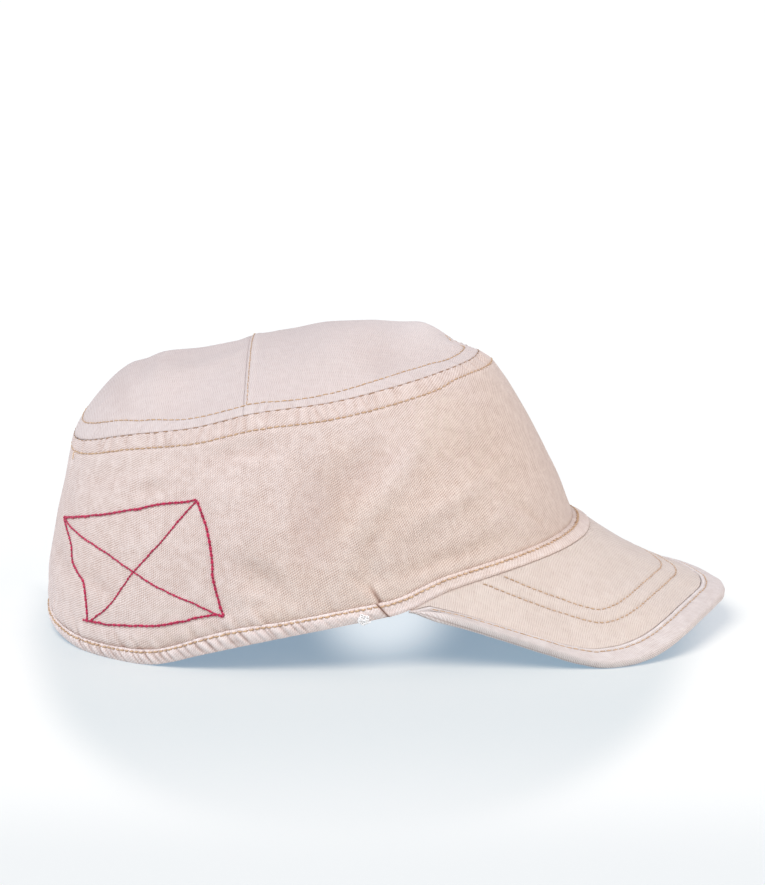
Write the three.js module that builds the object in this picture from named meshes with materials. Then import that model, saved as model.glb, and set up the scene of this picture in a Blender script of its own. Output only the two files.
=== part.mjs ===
import * as THREE from 'three';
import { mergeVertices } from 'three/addons/utils/BufferGeometryUtils.js';

// A soft army cap in cotton twill: a side wall that leans in to a top of two panels, a gathered
// elastic hem round the back, a low band in front and a curved peak with a folded binding.
// Millimetres, +Z up, +X towards the peak. Z is 0 on the surface that the cap rests on.

// Thicknesses
const CLOTH = 1.5;
const GAP = 0.3;
const PEAK_HALF = 1.3;
const PEAK_EDGE_HALF = 0.7;
const RIM_HALF = 2.0;
const RIM_CLOTH = 0.95;

// Plans: an egg seen from above, with its own length in front of and behind its centre
const HEM_PLAN = { centre: -16, front: 118, back: 86.5, half: 80.5, frontPower: 2.08, backPower: 2.3 };
const BAND_PLAN = { centre: -16, front: 112.2, back: 87.4, half: 80, frontPower: 2.08, backPower: 2.3 };
const SEAM_PLAN = { centre: -20, front: 80, back: 73.5, half: 61, frontPower: 2, backPower: 2.15 };

// Height of the bottom edge along the cap. It lies on the surface at the back and lifts towards the peak.
const HEM_HEIGHT = [
  { x: -104, z: 0 },
  { x: -68, z: 0 },
  { x: -61, z: 0.5 },
  { x: -54, z: 2.2 },
  { x: -44, z: 5.4 },
  { x: -20, z: 11.4 },
  { x: 10, z: 17.3 },
  { x: 30, z: 20.8 },
  { x: 50, z: 28.7 },
  { x: 80, z: 34.6 },
  { x: 102, z: 37.6 },
];

// How tall the hem casing and the front band stand above the bottom edge
const BAND_TALL = [
  { x: -104, tall: 3.4 },
  { x: -82, tall: 3.4 },
  { x: -56, tall: 5.0 },
  { x: -31, tall: 7.0 },
  { x: -10, tall: 5.9 },
  { x: 34, tall: 5.6 },
  { x: 60, tall: 4.4 },
  { x: 102, tall: 3.0 },
];

// Height of the seam round the top, on the centre line. Its sides stand SEAM_SIDE_LIFT higher.
const SEAM_HEIGHT = [
  { x: -93.5, z: 72.6 },
  { x: -71, z: 78.1 },
  { x: -47, z: 81.2 },
  { x: -22, z: 87.2 },
  { x: 4, z: 91.0 },
  { x: 29, z: 97.2 },
  { x: 54, z: 104.0 },
  { x: 61, z: 105.2 },
];
const SEAM_SIDE_LIFT = 7.2;

// How far the top puffs up over the seam, and how square its shoulder is at the front and back
const TOP_RISE = [
  { x: -93.5, rise: 20 },
  { x: -70, rise: 22.5 },
  { x: -45, rise: 20.6 },
  { x: -13, rise: 20.9 },
  { x: 5, rise: 23.8 },
  { x: 28, rise: 21.8 },
  { x: 45, rise: 15.8 },
  { x: 61, rise: 13.2 },
];
const SHOULDER_POWER = 2;
const BACK_SHOULDER_POWER = 6.5;

// How far the side wall swells out past a straight line, from the band (0) to the seam (1)
const WALL_SWELL = [
  { up: 0, front: 0, side: 0, back: 0 },
  { up: 0.25, front: 2.8, side: 3.0, back: 2.0 },
  { up: 0.5, front: 3.4, side: 4.0, back: 2.0 },
  { up: 0.75, front: 3.9, side: 3.6, back: 1.0 },
  { up: 0.9, front: 3.1, side: 2.4, back: 0.5 },
  { up: 1, front: 0, side: 0, back: 0 },
];

// Soft folds of the side wall, the same on both sides: the middle of the fold seen from the side,
// the lean of its run from level, half its length, half its width and how far it stands out
const WALL_FOLDS = [
  { x: 24, z: 64, lean: 55, run: 24, width: 7, out: 1.3 },
  { x: 15, z: 74, lean: 58, run: 17, width: 6, out: -1.5 },
  { x: 49, z: 61, lean: 27, run: 22, width: 6, out: 1.2 },
  { x: 45, z: 47, lean: 22, run: 15, width: 5, out: -1.4 },
  { x: -5, z: 62, lean: 88, run: 21, width: 7, out: -1.2 },
  { x: -20, z: 32, lean: -35, run: 9, width: 5, out: -1.4 },
  { x: 21, z: 36, lean: 105, run: 8, width: 4, out: -2.2 },
];

// A fold across the back of the top
const TOP_FOLD = { x: -67, width: 4.5, deep: 1.6 };

// Core line of the peak's rounded edge, from its tip to where it meets the hem
const PEAK_EDGE = [
  { x: 152.3, y: 0, z: 11.3 },
  { x: 151.6, y: 8.5, z: 11.2 },
  { x: 149.3, y: 16, z: 10.9 },
  { x: 146.2, y: 25.5, z: 10.5 },
  { x: 142.3, y: 36, z: 9.8 },
  { x: 136.2, y: 50, z: 7.9 },
  { x: 129.6, y: 58.9, z: 5.0 },
  { x: 123.3, y: 64.6, z: 3.0 },
  { x: 116.5, y: 69, z: 1.9 },
  { x: 108.8, y: 72.2, z: 1.6 },
  { x: 98.8, y: 73.9, z: 3.4 },
  { x: 86, y: 74.8, z: 7.4 },
  { x: 70, y: 75.2, z: 12.7 },
  { x: 51, y: 75.2, z: 18.7 },
  { x: 42, y: 75.1, z: 20.9 },
  { x: 34, y: 74.9, z: 22.4 },
];
const PEAK_SAG = 2.4;
const PEAK_TUCK = 1.6;
const PEAK_INSIDE_RIM = 0.6;
const PEAK_STEP_NEAR = 0.3;
const PEAK_STEP_FAR = 0.8;
const PEAK_FULL_WIDTH = 8;
const PEAK_THIN = 0.35;
const PEAK_END = 0.92;
const RIM_WIDE = 8.3;
const RIM_SHARE = 0.75;
const RIM_END = 0.97;
const RIM_TURNS = [0, 60, 120, 180];

// Where the casing meets the front band, and the room between them
const NOTCH_X = 24;
const NOTCH_GAP = 0.5;

// Sections of the casing and the band: share of the height, and how far out from the cloth's line
const CASING_SECTION = [
  { up: 0, outer: -0.35, inner: -2.1 },
  { up: 0.18, outer: 0.15, inner: -2.4 },
  { up: 0.55, outer: 0.6, inner: -2.5 },
  { up: 0.9, outer: 0.25, inner: -2.2 },
  { up: 1, outer: -0.15, inner: -1.9 },
];
const BAND_SECTION = [
  { up: 0, outer: -0.1, inner: -2.3 },
  { up: 0.3, outer: 0.3, inner: -2.3 },
  { up: 0.75, outer: 0.3, inner: -2.1 },
  { up: 1, outer: -0.1, inner: -1.8 },
];

// Rows and stations of the meshes
const WALL_STATIONS = 88;
const WALL_ROWS = [0, 0.13, 0.28, 0.45, 0.62, 0.78, 0.9];
const TOP_RAYS = 42;
const TOP_ROWS = [0.9, 0.76, 0.56, 0.3, 0];
const CASING_STATIONS = 56;
const BAND_STATIONS = 38;
const PEAK_STATIONS = 50;
const PEAK_ROWS = 4;
const TOP_SEAM_X = -27;

// Share of the wall over which its folds fade out towards the band and the seam
const EDGE_FADE = 0.12;
const STEP = 1e-3;

// A smooth curve through two columns of a table, which never overshoots between its rows
function curve(table, from, to) {
  const at = table.map((row) => row[from]);
  const value = table.map((row) => row[to]);
  const last = at.length - 1;
  const width = at.slice(1).map((next, i) => next - at[i]);
  const slope = width.map((w, i) => (value[i + 1] - value[i]) / w);
  const tangent = at.map((_, i) => {
    if (i === 0) return slope[0];
    if (i === last) return slope[last - 1];
    if (slope[i - 1] * slope[i] <= 0) return 0;
    const before = 2 * width[i] + width[i - 1];
    const after = width[i] + 2 * width[i - 1];
    return (before + after) / (before / slope[i - 1] + after / slope[i]);
  });
  return (x) => {
    let i = 0;
    while (i < last - 1 && x > at[i + 1]) i += 1;
    const t = THREE.MathUtils.clamp((x - at[i]) / width[i], 0, 1);
    const u = 1 - t;
    return value[i] * u * u * (1 + 2 * t) + value[i + 1] * t * t * (3 - 2 * t)
      + width[i] * t * u * (tangent[i] * u - tangent[i + 1] * t);
  };
}

const hemHeight = curve(HEM_HEIGHT, 'x', 'z');
const bandTall = curve(BAND_TALL, 'x', 'tall');
const seamHeight = curve(SEAM_HEIGHT, 'x', 'z');
const topRise = curve(TOP_RISE, 'x', 'rise');
const swell = {
  front: curve(WALL_SWELL, 'up', 'front'),
  side: curve(WALL_SWELL, 'up', 'side'),
  back: curve(WALL_SWELL, 'up', 'back'),
};

function span(from, to, steps) {
  return Array.from({ length: steps + 1 }, (_, i) => from + ((to - from) * i) / steps);
}

// Distance from a plan's centre to its outline, in the direction of an angle from +X
function planRadius(plan, angle) {
  const c = Math.cos(angle);
  const s = Math.sin(angle);
  const power = c >= 0 ? plan.frontPower : plan.backPower;
  const length = c >= 0 ? plan.front : plan.back;
  return ((Math.abs(c) / length) ** power + (Math.abs(s) / plan.half) ** power) ** (-1 / power);
}

function planPoint(plan, angle) {
  const radius = planRadius(plan, angle);
  return { x: plan.centre + radius * Math.cos(angle), y: radius * Math.sin(angle) };
}

// The angle in front of or beside a plan's centre at which its outline passes x
function angleAtX(plan, x) {
  let low = 0;
  let high = Math.PI;
  for (let i = 0; i < 40; i += 1) {
    const middle = (low + high) / 2;
    if (planPoint(plan, middle).x > x) low = middle;
    else high = middle;
  }
  return (low + high) / 2;
}

function hemPoint(angle) {
  const { x, y } = planPoint(HEM_PLAN, angle);
  return new THREE.Vector3(x, y, hemHeight(x));
}

function bandTopPoint(angle) {
  const below = planPoint(HEM_PLAN, angle).x;
  const { x, y } = planPoint(BAND_PLAN, angle);
  return new THREE.Vector3(x, y, hemHeight(below) + bandTall(below));
}

function seamPlaneHeight(x, y) {
  return seamHeight(x) + SEAM_SIDE_LIFT * (y / SEAM_PLAN.half) ** 2;
}

function seamPoint(angle) {
  const { x, y } = planPoint(SEAM_PLAN, angle);
  return new THREE.Vector3(x, y, seamPlaneHeight(x, y));
}

// Unit vector that points out of a surface made by point(u, v)
function normalOf(point, u, v) {
  const du = point(u + STEP, v).sub(point(u - STEP, v));
  const dv = point(u, v + STEP).sub(point(u, v - STEP));
  return du.cross(dv).normalize();
}

// How far the folds move the wall at a point seen from the side
function foldOut(x, z) {
  return WALL_FOLDS.reduce((total, fold) => {
    const lean = THREE.MathUtils.degToRad(fold.lean);
    const along = (x - fold.x) * Math.cos(lean) + (z - fold.z) * Math.sin(lean);
    const across = (z - fold.z) * Math.cos(lean) - (x - fold.x) * Math.sin(lean);
    return total + fold.out * Math.exp(-((along / fold.run) ** 2) - (across / fold.width) ** 2);
  }, 0);
}

// Outer face of the side wall: angle round the crown, and share of the way from band to seam
function wallPoint(angle, up) {
  const low = bandTopPoint(angle);
  const high = seamPoint(angle);
  const chord = high.clone().sub(low);
  const along = seamPoint(angle + STEP).sub(seamPoint(angle - STEP));
  const out = new THREE.Vector3(along.y, -along.x, 0).normalize();
  const rise = chord.clone().normalize();
  out.addScaledVector(rise, -out.dot(rise)).normalize();
  const front = Math.max(0, Math.cos(angle)) ** 2;
  const back = Math.max(0, -Math.cos(angle)) ** 2;
  const side = 1 - front - back;
  const swollen = front * swell.front(up) + side * swell.side(up) + back * swell.back(up);
  const point = low.addScaledVector(chord, up);
  const fade = THREE.MathUtils.smoothstep(up, 0, EDGE_FADE) * THREE.MathUtils.smoothstep(1 - up, 0, EDGE_FADE);
  return point.addScaledVector(out, swollen + side * fade * foldOut(point.x, point.z));
}

// Outer face of the top over a place in plan
function topPoint(x, y) {
  const away = Math.hypot(x - SEAM_PLAN.centre, y);
  const angle = Math.atan2(y, x - SEAM_PLAN.centre);
  const share = Math.min(1, away / planRadius(SEAM_PLAN, angle));
  const backness = Math.max(0, -Math.cos(angle)) ** 5;
  const power = THREE.MathUtils.lerp(SHOULDER_POWER, BACK_SHOULDER_POWER, backness);
  const puff = topRise(x) * (1 - share ** power);
  const fold = TOP_FOLD.deep * Math.exp(-(((x - TOP_FOLD.x) / TOP_FOLD.width) ** 2)) * (1 - share ** 4);
  return new THREE.Vector3(x, y, seamPlaneHeight(x, y) + puff - fold);
}

// The mitre where the wall meets the top: its corner outside and inside, and the way down and across
function seamCorner(angle) {
  const outside = seamPoint(angle);
  const wallOut = normalOf(wallPoint, angle, 1 - 2 * STEP);
  const inward = new THREE.Vector3(SEAM_PLAN.centre - outside.x, -outside.y, 0).normalize();
  const inX = outside.x + inward.x * 0.5;
  const inY = outside.y + inward.y * 0.5;
  const topOut = normalOf(topPoint, inX, inY);
  const mitre = wallOut.clone().add(topOut).normalize();
  const inside = outside.clone().addScaledVector(mitre, -CLOTH / mitre.dot(wallOut));
  const down = wallPoint(angle, 1 - 2 * STEP).sub(outside).normalize();
  const across = topPoint(inX, inY).sub(outside).normalize();
  return { outside, inside, down, across };
}

// Skins a row of sections. Each section has as many outer points as inner ones, and the row either
// goes round to its start or is closed by its first and last sections.
function skin(sections, goesRound = false) {
  const corners = [];
  const addTriangle = (a, b, c) => {
    const flat = a.distanceTo(b) < STEP || b.distanceTo(c) < STEP || c.distanceTo(a) < STEP;
    if (!flat) corners.push(a, b, c);
  };
  const addQuad = (a, b, c, d) => {
    addTriangle(a, b, c);
    addTriangle(a, c, d);
  };
  const loops = sections.map(({ outer, inner }) => [...outer, ...inner.slice().reverse()]);
  const spans = goesRound ? loops.length : loops.length - 1;
  for (let i = 0; i < spans; i += 1) {
    const here = loops[i];
    const next = loops[(i + 1) % loops.length];
    here.forEach((point, j) => {
      const k = (j + 1) % here.length;
      addQuad(point, next[j], next[k], here[k]);
    });
  }
  if (!goesRound) {
    const first = sections[0];
    const last = sections[sections.length - 1];
    for (let j = 0; j < first.outer.length - 1; j += 1) {
      addQuad(first.outer[j], first.outer[j + 1], first.inner[j + 1], first.inner[j]);
      addQuad(last.outer[j], last.inner[j], last.inner[j + 1], last.outer[j + 1]);
    }
  }
  const volume = corners.reduce((sum, a, i) => {
    if (i % 3 !== 0) return sum;
    return sum + a.dot(corners[i + 1].clone().cross(corners[i + 2]));
  }, 0);
  if (volume < 0) corners.reverse();
  const geometry = mergeVertices(new THREE.BufferGeometry().setFromPoints(corners), STEP);
  geometry.computeVertexNormals();
  return geometry;
}

// Level unit vector that points out of the bottom edge
function outOfHem(angle) {
  const along = hemPoint(angle + STEP).sub(hemPoint(angle - STEP));
  return new THREE.Vector3(along.y, -along.x, 0).normalize();
}

// The side wall, one strip of cloth round the crown. Its bottom is cut level over the band and its
// top is mitred to meet the top panels.
function crownSide() {
  const sections = span(0, 2 * Math.PI, WALL_STATIONS).slice(0, -1).map((angle) => {
    const outer = WALL_ROWS.map((up) => wallPoint(angle, up));
    const normals = WALL_ROWS.map((up) => normalOf(wallPoint, angle, up + 2 * STEP));
    const inner = outer.map((point, i) => point.clone().addScaledVector(normals[i], -CLOTH));
    const out = outOfHem(angle);
    const climb = outer[1].clone().sub(outer[0]).normalize();
    outer[0].addScaledVector(climb, GAP / climb.z);
    inner[0] = outer[0].clone().addScaledVector(out, -CLOTH / normals[0].dot(out));
    const corner = seamCorner(angle);
    outer.push(corner.outside.addScaledVector(corner.down, GAP / 2));
    inner.push(corner.inside.addScaledVector(corner.down, GAP / 2));
    return { outer, inner };
  });
  return skin(sections, true);
}

// One of the two panels of the top, as rays from the middle of the seam across the crown
function topPanel(isFront) {
  const poleX = TOP_SEAM_X + (isFront ? GAP / 2 : -GAP / 2);
  const turn = angleAtX(SEAM_PLAN, poleX);
  const angles = isFront ? span(-turn, turn, TOP_RAYS) : span(turn, 2 * Math.PI - turn, TOP_RAYS);
  const sections = angles.map((angle, ray) => {
    const rim = seamCorner(angle);
    const outer = [rim.outside.clone().addScaledVector(rim.across, GAP / 2)];
    const inner = [rim.inside.clone().addScaledVector(rim.across, GAP / 2)];
    TOP_ROWS.forEach((share) => {
      const x = THREE.MathUtils.lerp(poleX, rim.outside.x, share);
      const y = rim.outside.y * share;
      const point = topPoint(x, y);
      outer.push(point);
      inner.push(point.clone().addScaledVector(normalOf(topPoint, x, y), -CLOTH));
    });
    const isSeam = ray === 0 || ray === TOP_RAYS;
    const pole = outer.length - 1;
    [...outer, ...inner].filter((_, i) => isSeam || i % outer.length === pole)
      .forEach((point) => point.setX(poleX));
    inner[pole].setY(0);
    return { outer, inner };
  });
  return skin(sections);
}

// A strip along the bottom edge between two angles
function edgeStrip(from, to, stations, section) {
  return skin(span(from, to, stations).map((angle) => {
    const low = hemPoint(angle);
    const high = bandTopPoint(angle);
    const out = outOfHem(angle);
    const place = (up, away) => low.clone().lerp(high, up).addScaledVector(out, away);
    return {
      outer: section.map((row) => place(row.up, row.outer)),
      inner: section.map((row) => place(row.up, row.inner)),
    };
  }));
}

const notchAngle = angleAtX(HEM_PLAN, NOTCH_X);
const notchTurn = NOTCH_GAP / 2 / planRadius(HEM_PLAN, notchAngle);

// The gathered hem round the back, from notch to notch
function hemCasing() {
  const from = notchAngle + notchTurn;
  return edgeStrip(from, 2 * Math.PI - from, CASING_STATIONS, CASING_SECTION);
}

// The low band over the peak, from notch to notch
function frontBand() {
  const to = notchAngle - notchTurn;
  return edgeStrip(-to, to, BAND_STATIONS, BAND_SECTION);
}

const edgeLength = PEAK_EDGE.reduce((lengths, row, i) => {
  const before = PEAK_EDGE[Math.max(0, i - 1)];
  const step = Math.hypot(row.x - before.x, row.y - before.y, row.z - before.z);
  return [...lengths, (lengths[i - 1] ?? 0) + step];
}, []);
const edgeTable = PEAK_EDGE.map((row, i) => ({ ...row, share: edgeLength[i] / edgeLength.at(-1) }));
const edgeX = curve(edgeTable, 'share', 'x');
const edgeY = curve(edgeTable, 'share', 'y');
const edgeZ = curve(edgeTable, 'share', 'z');
const peakTurn = angleAtX(HEM_PLAN, PEAK_EDGE.at(-1).x);
const peakSides = span(-RIM_END, RIM_END, PEAK_STATIONS);

// Core line of the peak's edge, from one end of the peak (-1) over its tip (0) to the other (1)
function peakEdgePoint(side) {
  const share = Math.abs(side);
  return new THREE.Vector3(edgeX(share), Math.sign(side) * edgeY(share), edgeZ(share));
}

// How wide the peak is at a ruling, and how much of its full thickness it has there
function peakWidth(side) {
  return hemPoint(side * peakTurn).distanceTo(peakEdgePoint(side));
}

function peakFullness(side) {
  return THREE.MathUtils.clamp(peakWidth(side) / PEAK_FULL_WIDTH, PEAK_THIN, 1);
}

// Middle surface of the peak: place round it, and share of the way from the hem to the edge
function peakPoint(side, share) {
  const start = hemPoint(side * peakTurn);
  start.z -= PEAK_HALF * peakFullness(side) + GAP;
  const point = start.lerp(peakEdgePoint(side), share);
  point.z -= PEAK_SAG * 4 * share * (1 - share) * Math.sqrt(Math.cos((side * Math.PI) / 2));
  return point;
}

// A point over (1) or under (-1) the middle surface, never below the surface that the cap rests on
function peakFace(side, share, away) {
  const normal = normalOf(peakPoint, side, share);
  if (normal.z < 0) normal.negate();
  const point = peakPoint(side, share).addScaledVector(normal, away);
  point.z = Math.max(0, point.z);
  return point;
}

// The peak's board in its cloth. It is tucked under the band and thinner inside the binding.
function peak() {
  const sections = peakSides.filter((side) => Math.abs(side) < PEAK_END).map((side) => {
    const width = peakWidth(side);
    const fullness = peakFullness(side);
    const rimWide = Math.min(RIM_WIDE, RIM_SHARE * width);
    const bodyEnd = 1 - (rimWide + PEAK_STEP_FAR) / width;
    const rows = [
      ...span(0, bodyEnd, PEAK_ROWS).slice(1).map((share) => ({ share, half: PEAK_HALF })),
      { share: 1 - (rimWide + PEAK_STEP_NEAR) / width, half: PEAK_EDGE_HALF },
      { share: 1 - PEAK_INSIDE_RIM / width, half: PEAK_EDGE_HALF },
    ];
    const faces = [1, -1].map((over) => {
      const start = peakPoint(side, 0);
      start.z += over * PEAK_HALF * fullness;
      const tuck = start.clone().addScaledVector(outOfHem(side * peakTurn), -PEAK_TUCK);
      return [tuck, start, ...rows.map(({ share, half }) => peakFace(side, share, over * half * fullness))];
    });
    return { outer: faces[0], inner: faces[1] };
  });
  return skin(sections);
}

// The binding folded round the peak's edge, over the thin margin of the board
function peakRim() {
  const sections = peakSides.map((side) => {
    const width = peakWidth(side);
    const fullness = peakFullness(side);
    const rimShare = Math.min(RIM_WIDE, RIM_SHARE * width) / width;
    const core = peakPoint(side, 1);
    const over = peakFace(side, 1, 1).sub(core).normalize();
    const outward = core.clone().sub(peakPoint(side, 1 - STEP)).normalize();
    const layer = (half) => [
      peakFace(side, 1 - rimShare, half),
      ...RIM_TURNS.map((degrees) => {
        const turn = THREE.MathUtils.degToRad(degrees);
        const point = core.clone().addScaledVector(over, half * Math.cos(turn));
        point.addScaledVector(outward, half * Math.sin(turn));
        point.z = Math.max(0, point.z);
        return point;
      }),
      peakFace(side, 1 - rimShare, -half),
    ];
    return { outer: layer(RIM_HALF * fullness), inner: layer((RIM_HALF - RIM_CLOTH) * fullness) };
  });
  return skin(sections);
}

function cotton(color) {
  return new THREE.MeshStandardMaterial({ color, roughness: 0.92, metalness: 0 });
}

function piece(name, geometry, material) {
  const mesh = new THREE.Mesh(geometry, material);
  mesh.name = name;
  return mesh;
}

const sandTwill = cotton(0xe2c9b5);
const hemTwill = cotton(0xdcc2ae);
const bindingTwill = cotton(0xd9bdaa);

const cap = new THREE.Group();
cap.add(
  piece('crown_side', crownSide(), sandTwill),
  piece('top_panel_back', topPanel(false), sandTwill),
  piece('top_panel_front', topPanel(true), sandTwill),
  piece('hem_casing', hemCasing(), hemTwill),
  piece('front_band', frontBand(), hemTwill),
  piece('peak', peak(), sandTwill),
  piece('peak_rim', peakRim(), bindingTwill),
);

// The origin is on the resting surface, under the middle of the cap's length and width
const bounds = new THREE.Box3().setFromObject(cap);
const middle = bounds.getCenter(new THREE.Vector3());
cap.position.set(-middle.x, -middle.y, -bounds.min.z);

export default cap;
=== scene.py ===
"""An army cap in washed sand twill, dressed over its solids.

The cap has a side wall, a top of two panels, a gathered hem casing, a front band and a curved peak
with a folded binding. All of it is cotton twill sewn with tan thread. A square with a cross in
crimson thread is stitched on one side, as such a cross is sewn to hold layers of cloth together.

Sizes are millimetres in the cap's own frame: X points to the peak from the middle of the crown, the
side with the crimson stitching is -Y, and Z is up from the surface that the cap rests on.
"""

import itertools
import logging
import math
from collections.abc import Callable
from dataclasses import dataclass, field
from enum import Enum

import bmesh
import bpy
import numpy as np
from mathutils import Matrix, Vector


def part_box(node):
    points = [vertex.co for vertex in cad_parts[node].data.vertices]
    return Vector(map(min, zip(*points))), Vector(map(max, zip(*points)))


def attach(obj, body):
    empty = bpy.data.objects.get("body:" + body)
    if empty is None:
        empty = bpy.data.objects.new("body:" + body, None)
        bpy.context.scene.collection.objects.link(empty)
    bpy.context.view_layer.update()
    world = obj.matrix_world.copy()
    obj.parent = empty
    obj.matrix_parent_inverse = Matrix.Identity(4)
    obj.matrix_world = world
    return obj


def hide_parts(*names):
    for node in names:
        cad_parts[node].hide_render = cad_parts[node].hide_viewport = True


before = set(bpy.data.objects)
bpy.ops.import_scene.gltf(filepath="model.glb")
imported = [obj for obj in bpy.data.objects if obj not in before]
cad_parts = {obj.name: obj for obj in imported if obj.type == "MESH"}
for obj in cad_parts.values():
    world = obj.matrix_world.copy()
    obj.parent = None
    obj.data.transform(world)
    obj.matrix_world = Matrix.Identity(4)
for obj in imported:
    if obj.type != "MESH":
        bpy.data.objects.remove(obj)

Array = np.ndarray
Table = dict[str, list[float]]
Tree = bpy.types.NodeTree
Socket = bpy.types.NodeSocket
Surface = Callable[[Array, Array], Array]
Placing = Callable[[Array], tuple[Array, Array]]

log = logging.getLogger("army_cap")

MM = 0.001
STEP = 1e-3
CLOTH_MAP = "cloth"
TONE = "tone"

# Sockets of the colour mix
MIX_SHARE = 0
MIX_UNDER = 6
MIX_OVER = 7
MIX_COLOUR = 2

# Forms of the solids, which the cloth follows
CLOTH = 1.5
GAP = 0.3
PEAK_HALF = 1.3
PEAK_EDGE_HALF = 0.7
RIM_HALF = 2.0
RIM_CLOTH = 0.95
HEM_HEIGHT: Table = {
    "x": [-104, -96, -88, -68, -61, -54, -44, -20, 10, 30, 50, 80, 102],
    "z": [3.2, 0.9, 0, 0, 0.5, 2.2, 5.4, 11.4, 17.3, 20.8, 28.7, 34.6, 37.6],
}
BAND_TALL: Table = {
    "x": [-104, -82, -56, -31, -10, 34, 60, 102],
    "tall": [5.0, 5.0, 5.9, 7.1, 6.0, 5.6, 4.4, 3.0],
}
SEAM_HEIGHT: Table = {
    "x": [-93.5, -71, -47, -22, 4, 29, 54, 61],
    "z": [72.6, 78.1, 81.2, 87.2, 91.0, 97.2, 104.0, 105.2],
}
SEAM_SIDE_LIFT = 7.2
FAR_CORNER_SAG = 3.0
TOP_RISE: Table = {
    "x": [-93.5, -70, -45, -13, 5, 28, 45, 61],
    "rise": [20, 22.5, 20.6, 20.9, 23.8, 21.8, 15.8, 13.2],
}
SHOULDER_POWER = 2.0
BACK_SHOULDER_POWER = 6.5
WALL_SWELL: Table = {
    "up": [0, 0.25, 0.5, 0.75, 0.9, 1],
    "front": [0, 2.8, 3.4, 3.9, 3.1, 0],
    "side": [0, 3.0, 4.0, 3.6, 2.4, 0],
    "back": [0, 2.0, 2.0, 1.0, 0.5, 0],
}
EDGE_FADE = 0.12
TOP_FOLD_X = -67.0
TOP_FOLD_WIDTH = 4.5
TOP_FOLD_DEEP = 1.6
PEAK_EDGE: Table = {
    "x": [152.3, 151.6, 149.3, 146.2, 142.3, 136.2, 129.6, 123.3,
          116.5, 108.8, 98.8, 86, 70, 51, 42, 34],
    "y": [0, 8.5, 16, 25.5, 36, 50, 58.9, 64.6, 69, 72.2, 73.9, 74.8, 75.2, 75.2, 75.1, 74.9],
    "z": [11.3, 11.2, 10.9, 10.5, 9.8, 7.9, 5.0, 3.0, 1.9, 1.6, 3.4, 7.4, 12.7, 18.7, 20.9, 22.4],
}
PEAK_SAG = 2.4
PEAK_TUCK = 1.1
PEAK_INSIDE_RIM = 0.6
PEAK_STEP_NEAR = 0.1
PEAK_STEP_FAR = 0.5
PEAK_FULL_WIDTH = 8.0
PEAK_THIN = 0.35
RIM_WIDE = 8.3
RIM_SHARE = 0.88
RIM_END = 0.97
RIM_STITCHED_TO = 0.92
NOTCH_X = 25.2
CASING_SECTION: Table = {
    "up": [0, 0.18, 0.55, 0.9, 1],
    "outer": [-0.35, 0.15, 0.6, 0.25, -0.15],
    "inner": [-2.1, -2.4, -2.5, -2.2, -1.9],
}
BAND_SECTION: Table = {
    "up": [0, 0.3, 0.75, 1],
    "outer": [-0.1, 0.3, 0.3, -0.1],
    "inner": [-2.3, -2.3, -2.1, -1.8],
}
TOP_SEAM_X = -27.0

# Rows of topstitching: how far each runs from its seam, at places along the cap
TOP_ROW: Table = {
    "x": [-93, -88, -78, -64, -49, -20, -13, -4, 13, 29, 41, 48, 53, 60],
    "away": [4.0, 4.8, 6.2, 7.0, 6.6, 6.6, 5.6, 5.1, 5.9, 7.9, 9.2, 9.2, 7.4, 6.6],
}
WALL_ROW: Table = {
    "x": [-93, -86, -53, -41, 24, 42, 49, 54, 60],
    "away": [4.4, 5.4, 6.0, 6.3, 6.4, 6.0, 4.6, 4.7, 5.6],
}
PEAK_ROWS = (18.3, 24.4)
BINDING_ROW = 2.0
TOP_SEAM_ROW = 1.2
BACK_RIDGE_AT = 17.0

# How far back the creases lie on the far side, and the mean radius of the hem
FAR_CREASES_MOVED = 9.0
HEM_RADIUS = 78.0

# Stitches
STITCH_PITCH = 2.6
THREAD = 0.4
SEAM_PITCH = 4.0
SEAM_DASH = 4.1
LOOSE_END_ANGLE = 3.42


def smooth(value: Array, start: float, end: float) -> Array:
    """Goes smoothly from 0 at start to 1 at end."""
    t = np.clip((value - start) / (end - start), 0, 1)
    return t * t * (3 - 2 * t)


def bell(value: Array, width: float) -> Array:
    """A bump of height 1 round 0."""
    return np.exp(-((value / width) ** 2))


def unit(vectors: Array) -> Array:
    """The same vectors with length 1."""
    return vectors / np.maximum(np.linalg.norm(vectors, axis=-1, keepdims=True), 1e-12)


def dot(a: Array, b: Array) -> Array:
    """Dot products along the last axis, which stays."""
    return (a * b).sum(axis=-1, keepdims=True)


def normal_of(point: Surface, u: Array, v: Array) -> Array:
    """Unit vectors out of a surface.

    Args:
        point: A function from two arrays of places on the surface to points.
        u: First places.
        v: Second places.

    Returns:
        One unit vector for each place.
    """
    along = point(u + STEP, v) - point(u - STEP, v)
    across = point(u, v + STEP) - point(u, v - STEP)
    return unit(np.cross(along, across))


def lengths_along(points: Array) -> Array:
    """How far along its line each point is, for one line or for several."""
    steps = np.linalg.norm(np.diff(points, axis=-2), axis=-1)
    return np.concatenate([np.zeros((*steps.shape[:-1], 1)), np.cumsum(steps, axis=-1)], axis=-1)


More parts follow.
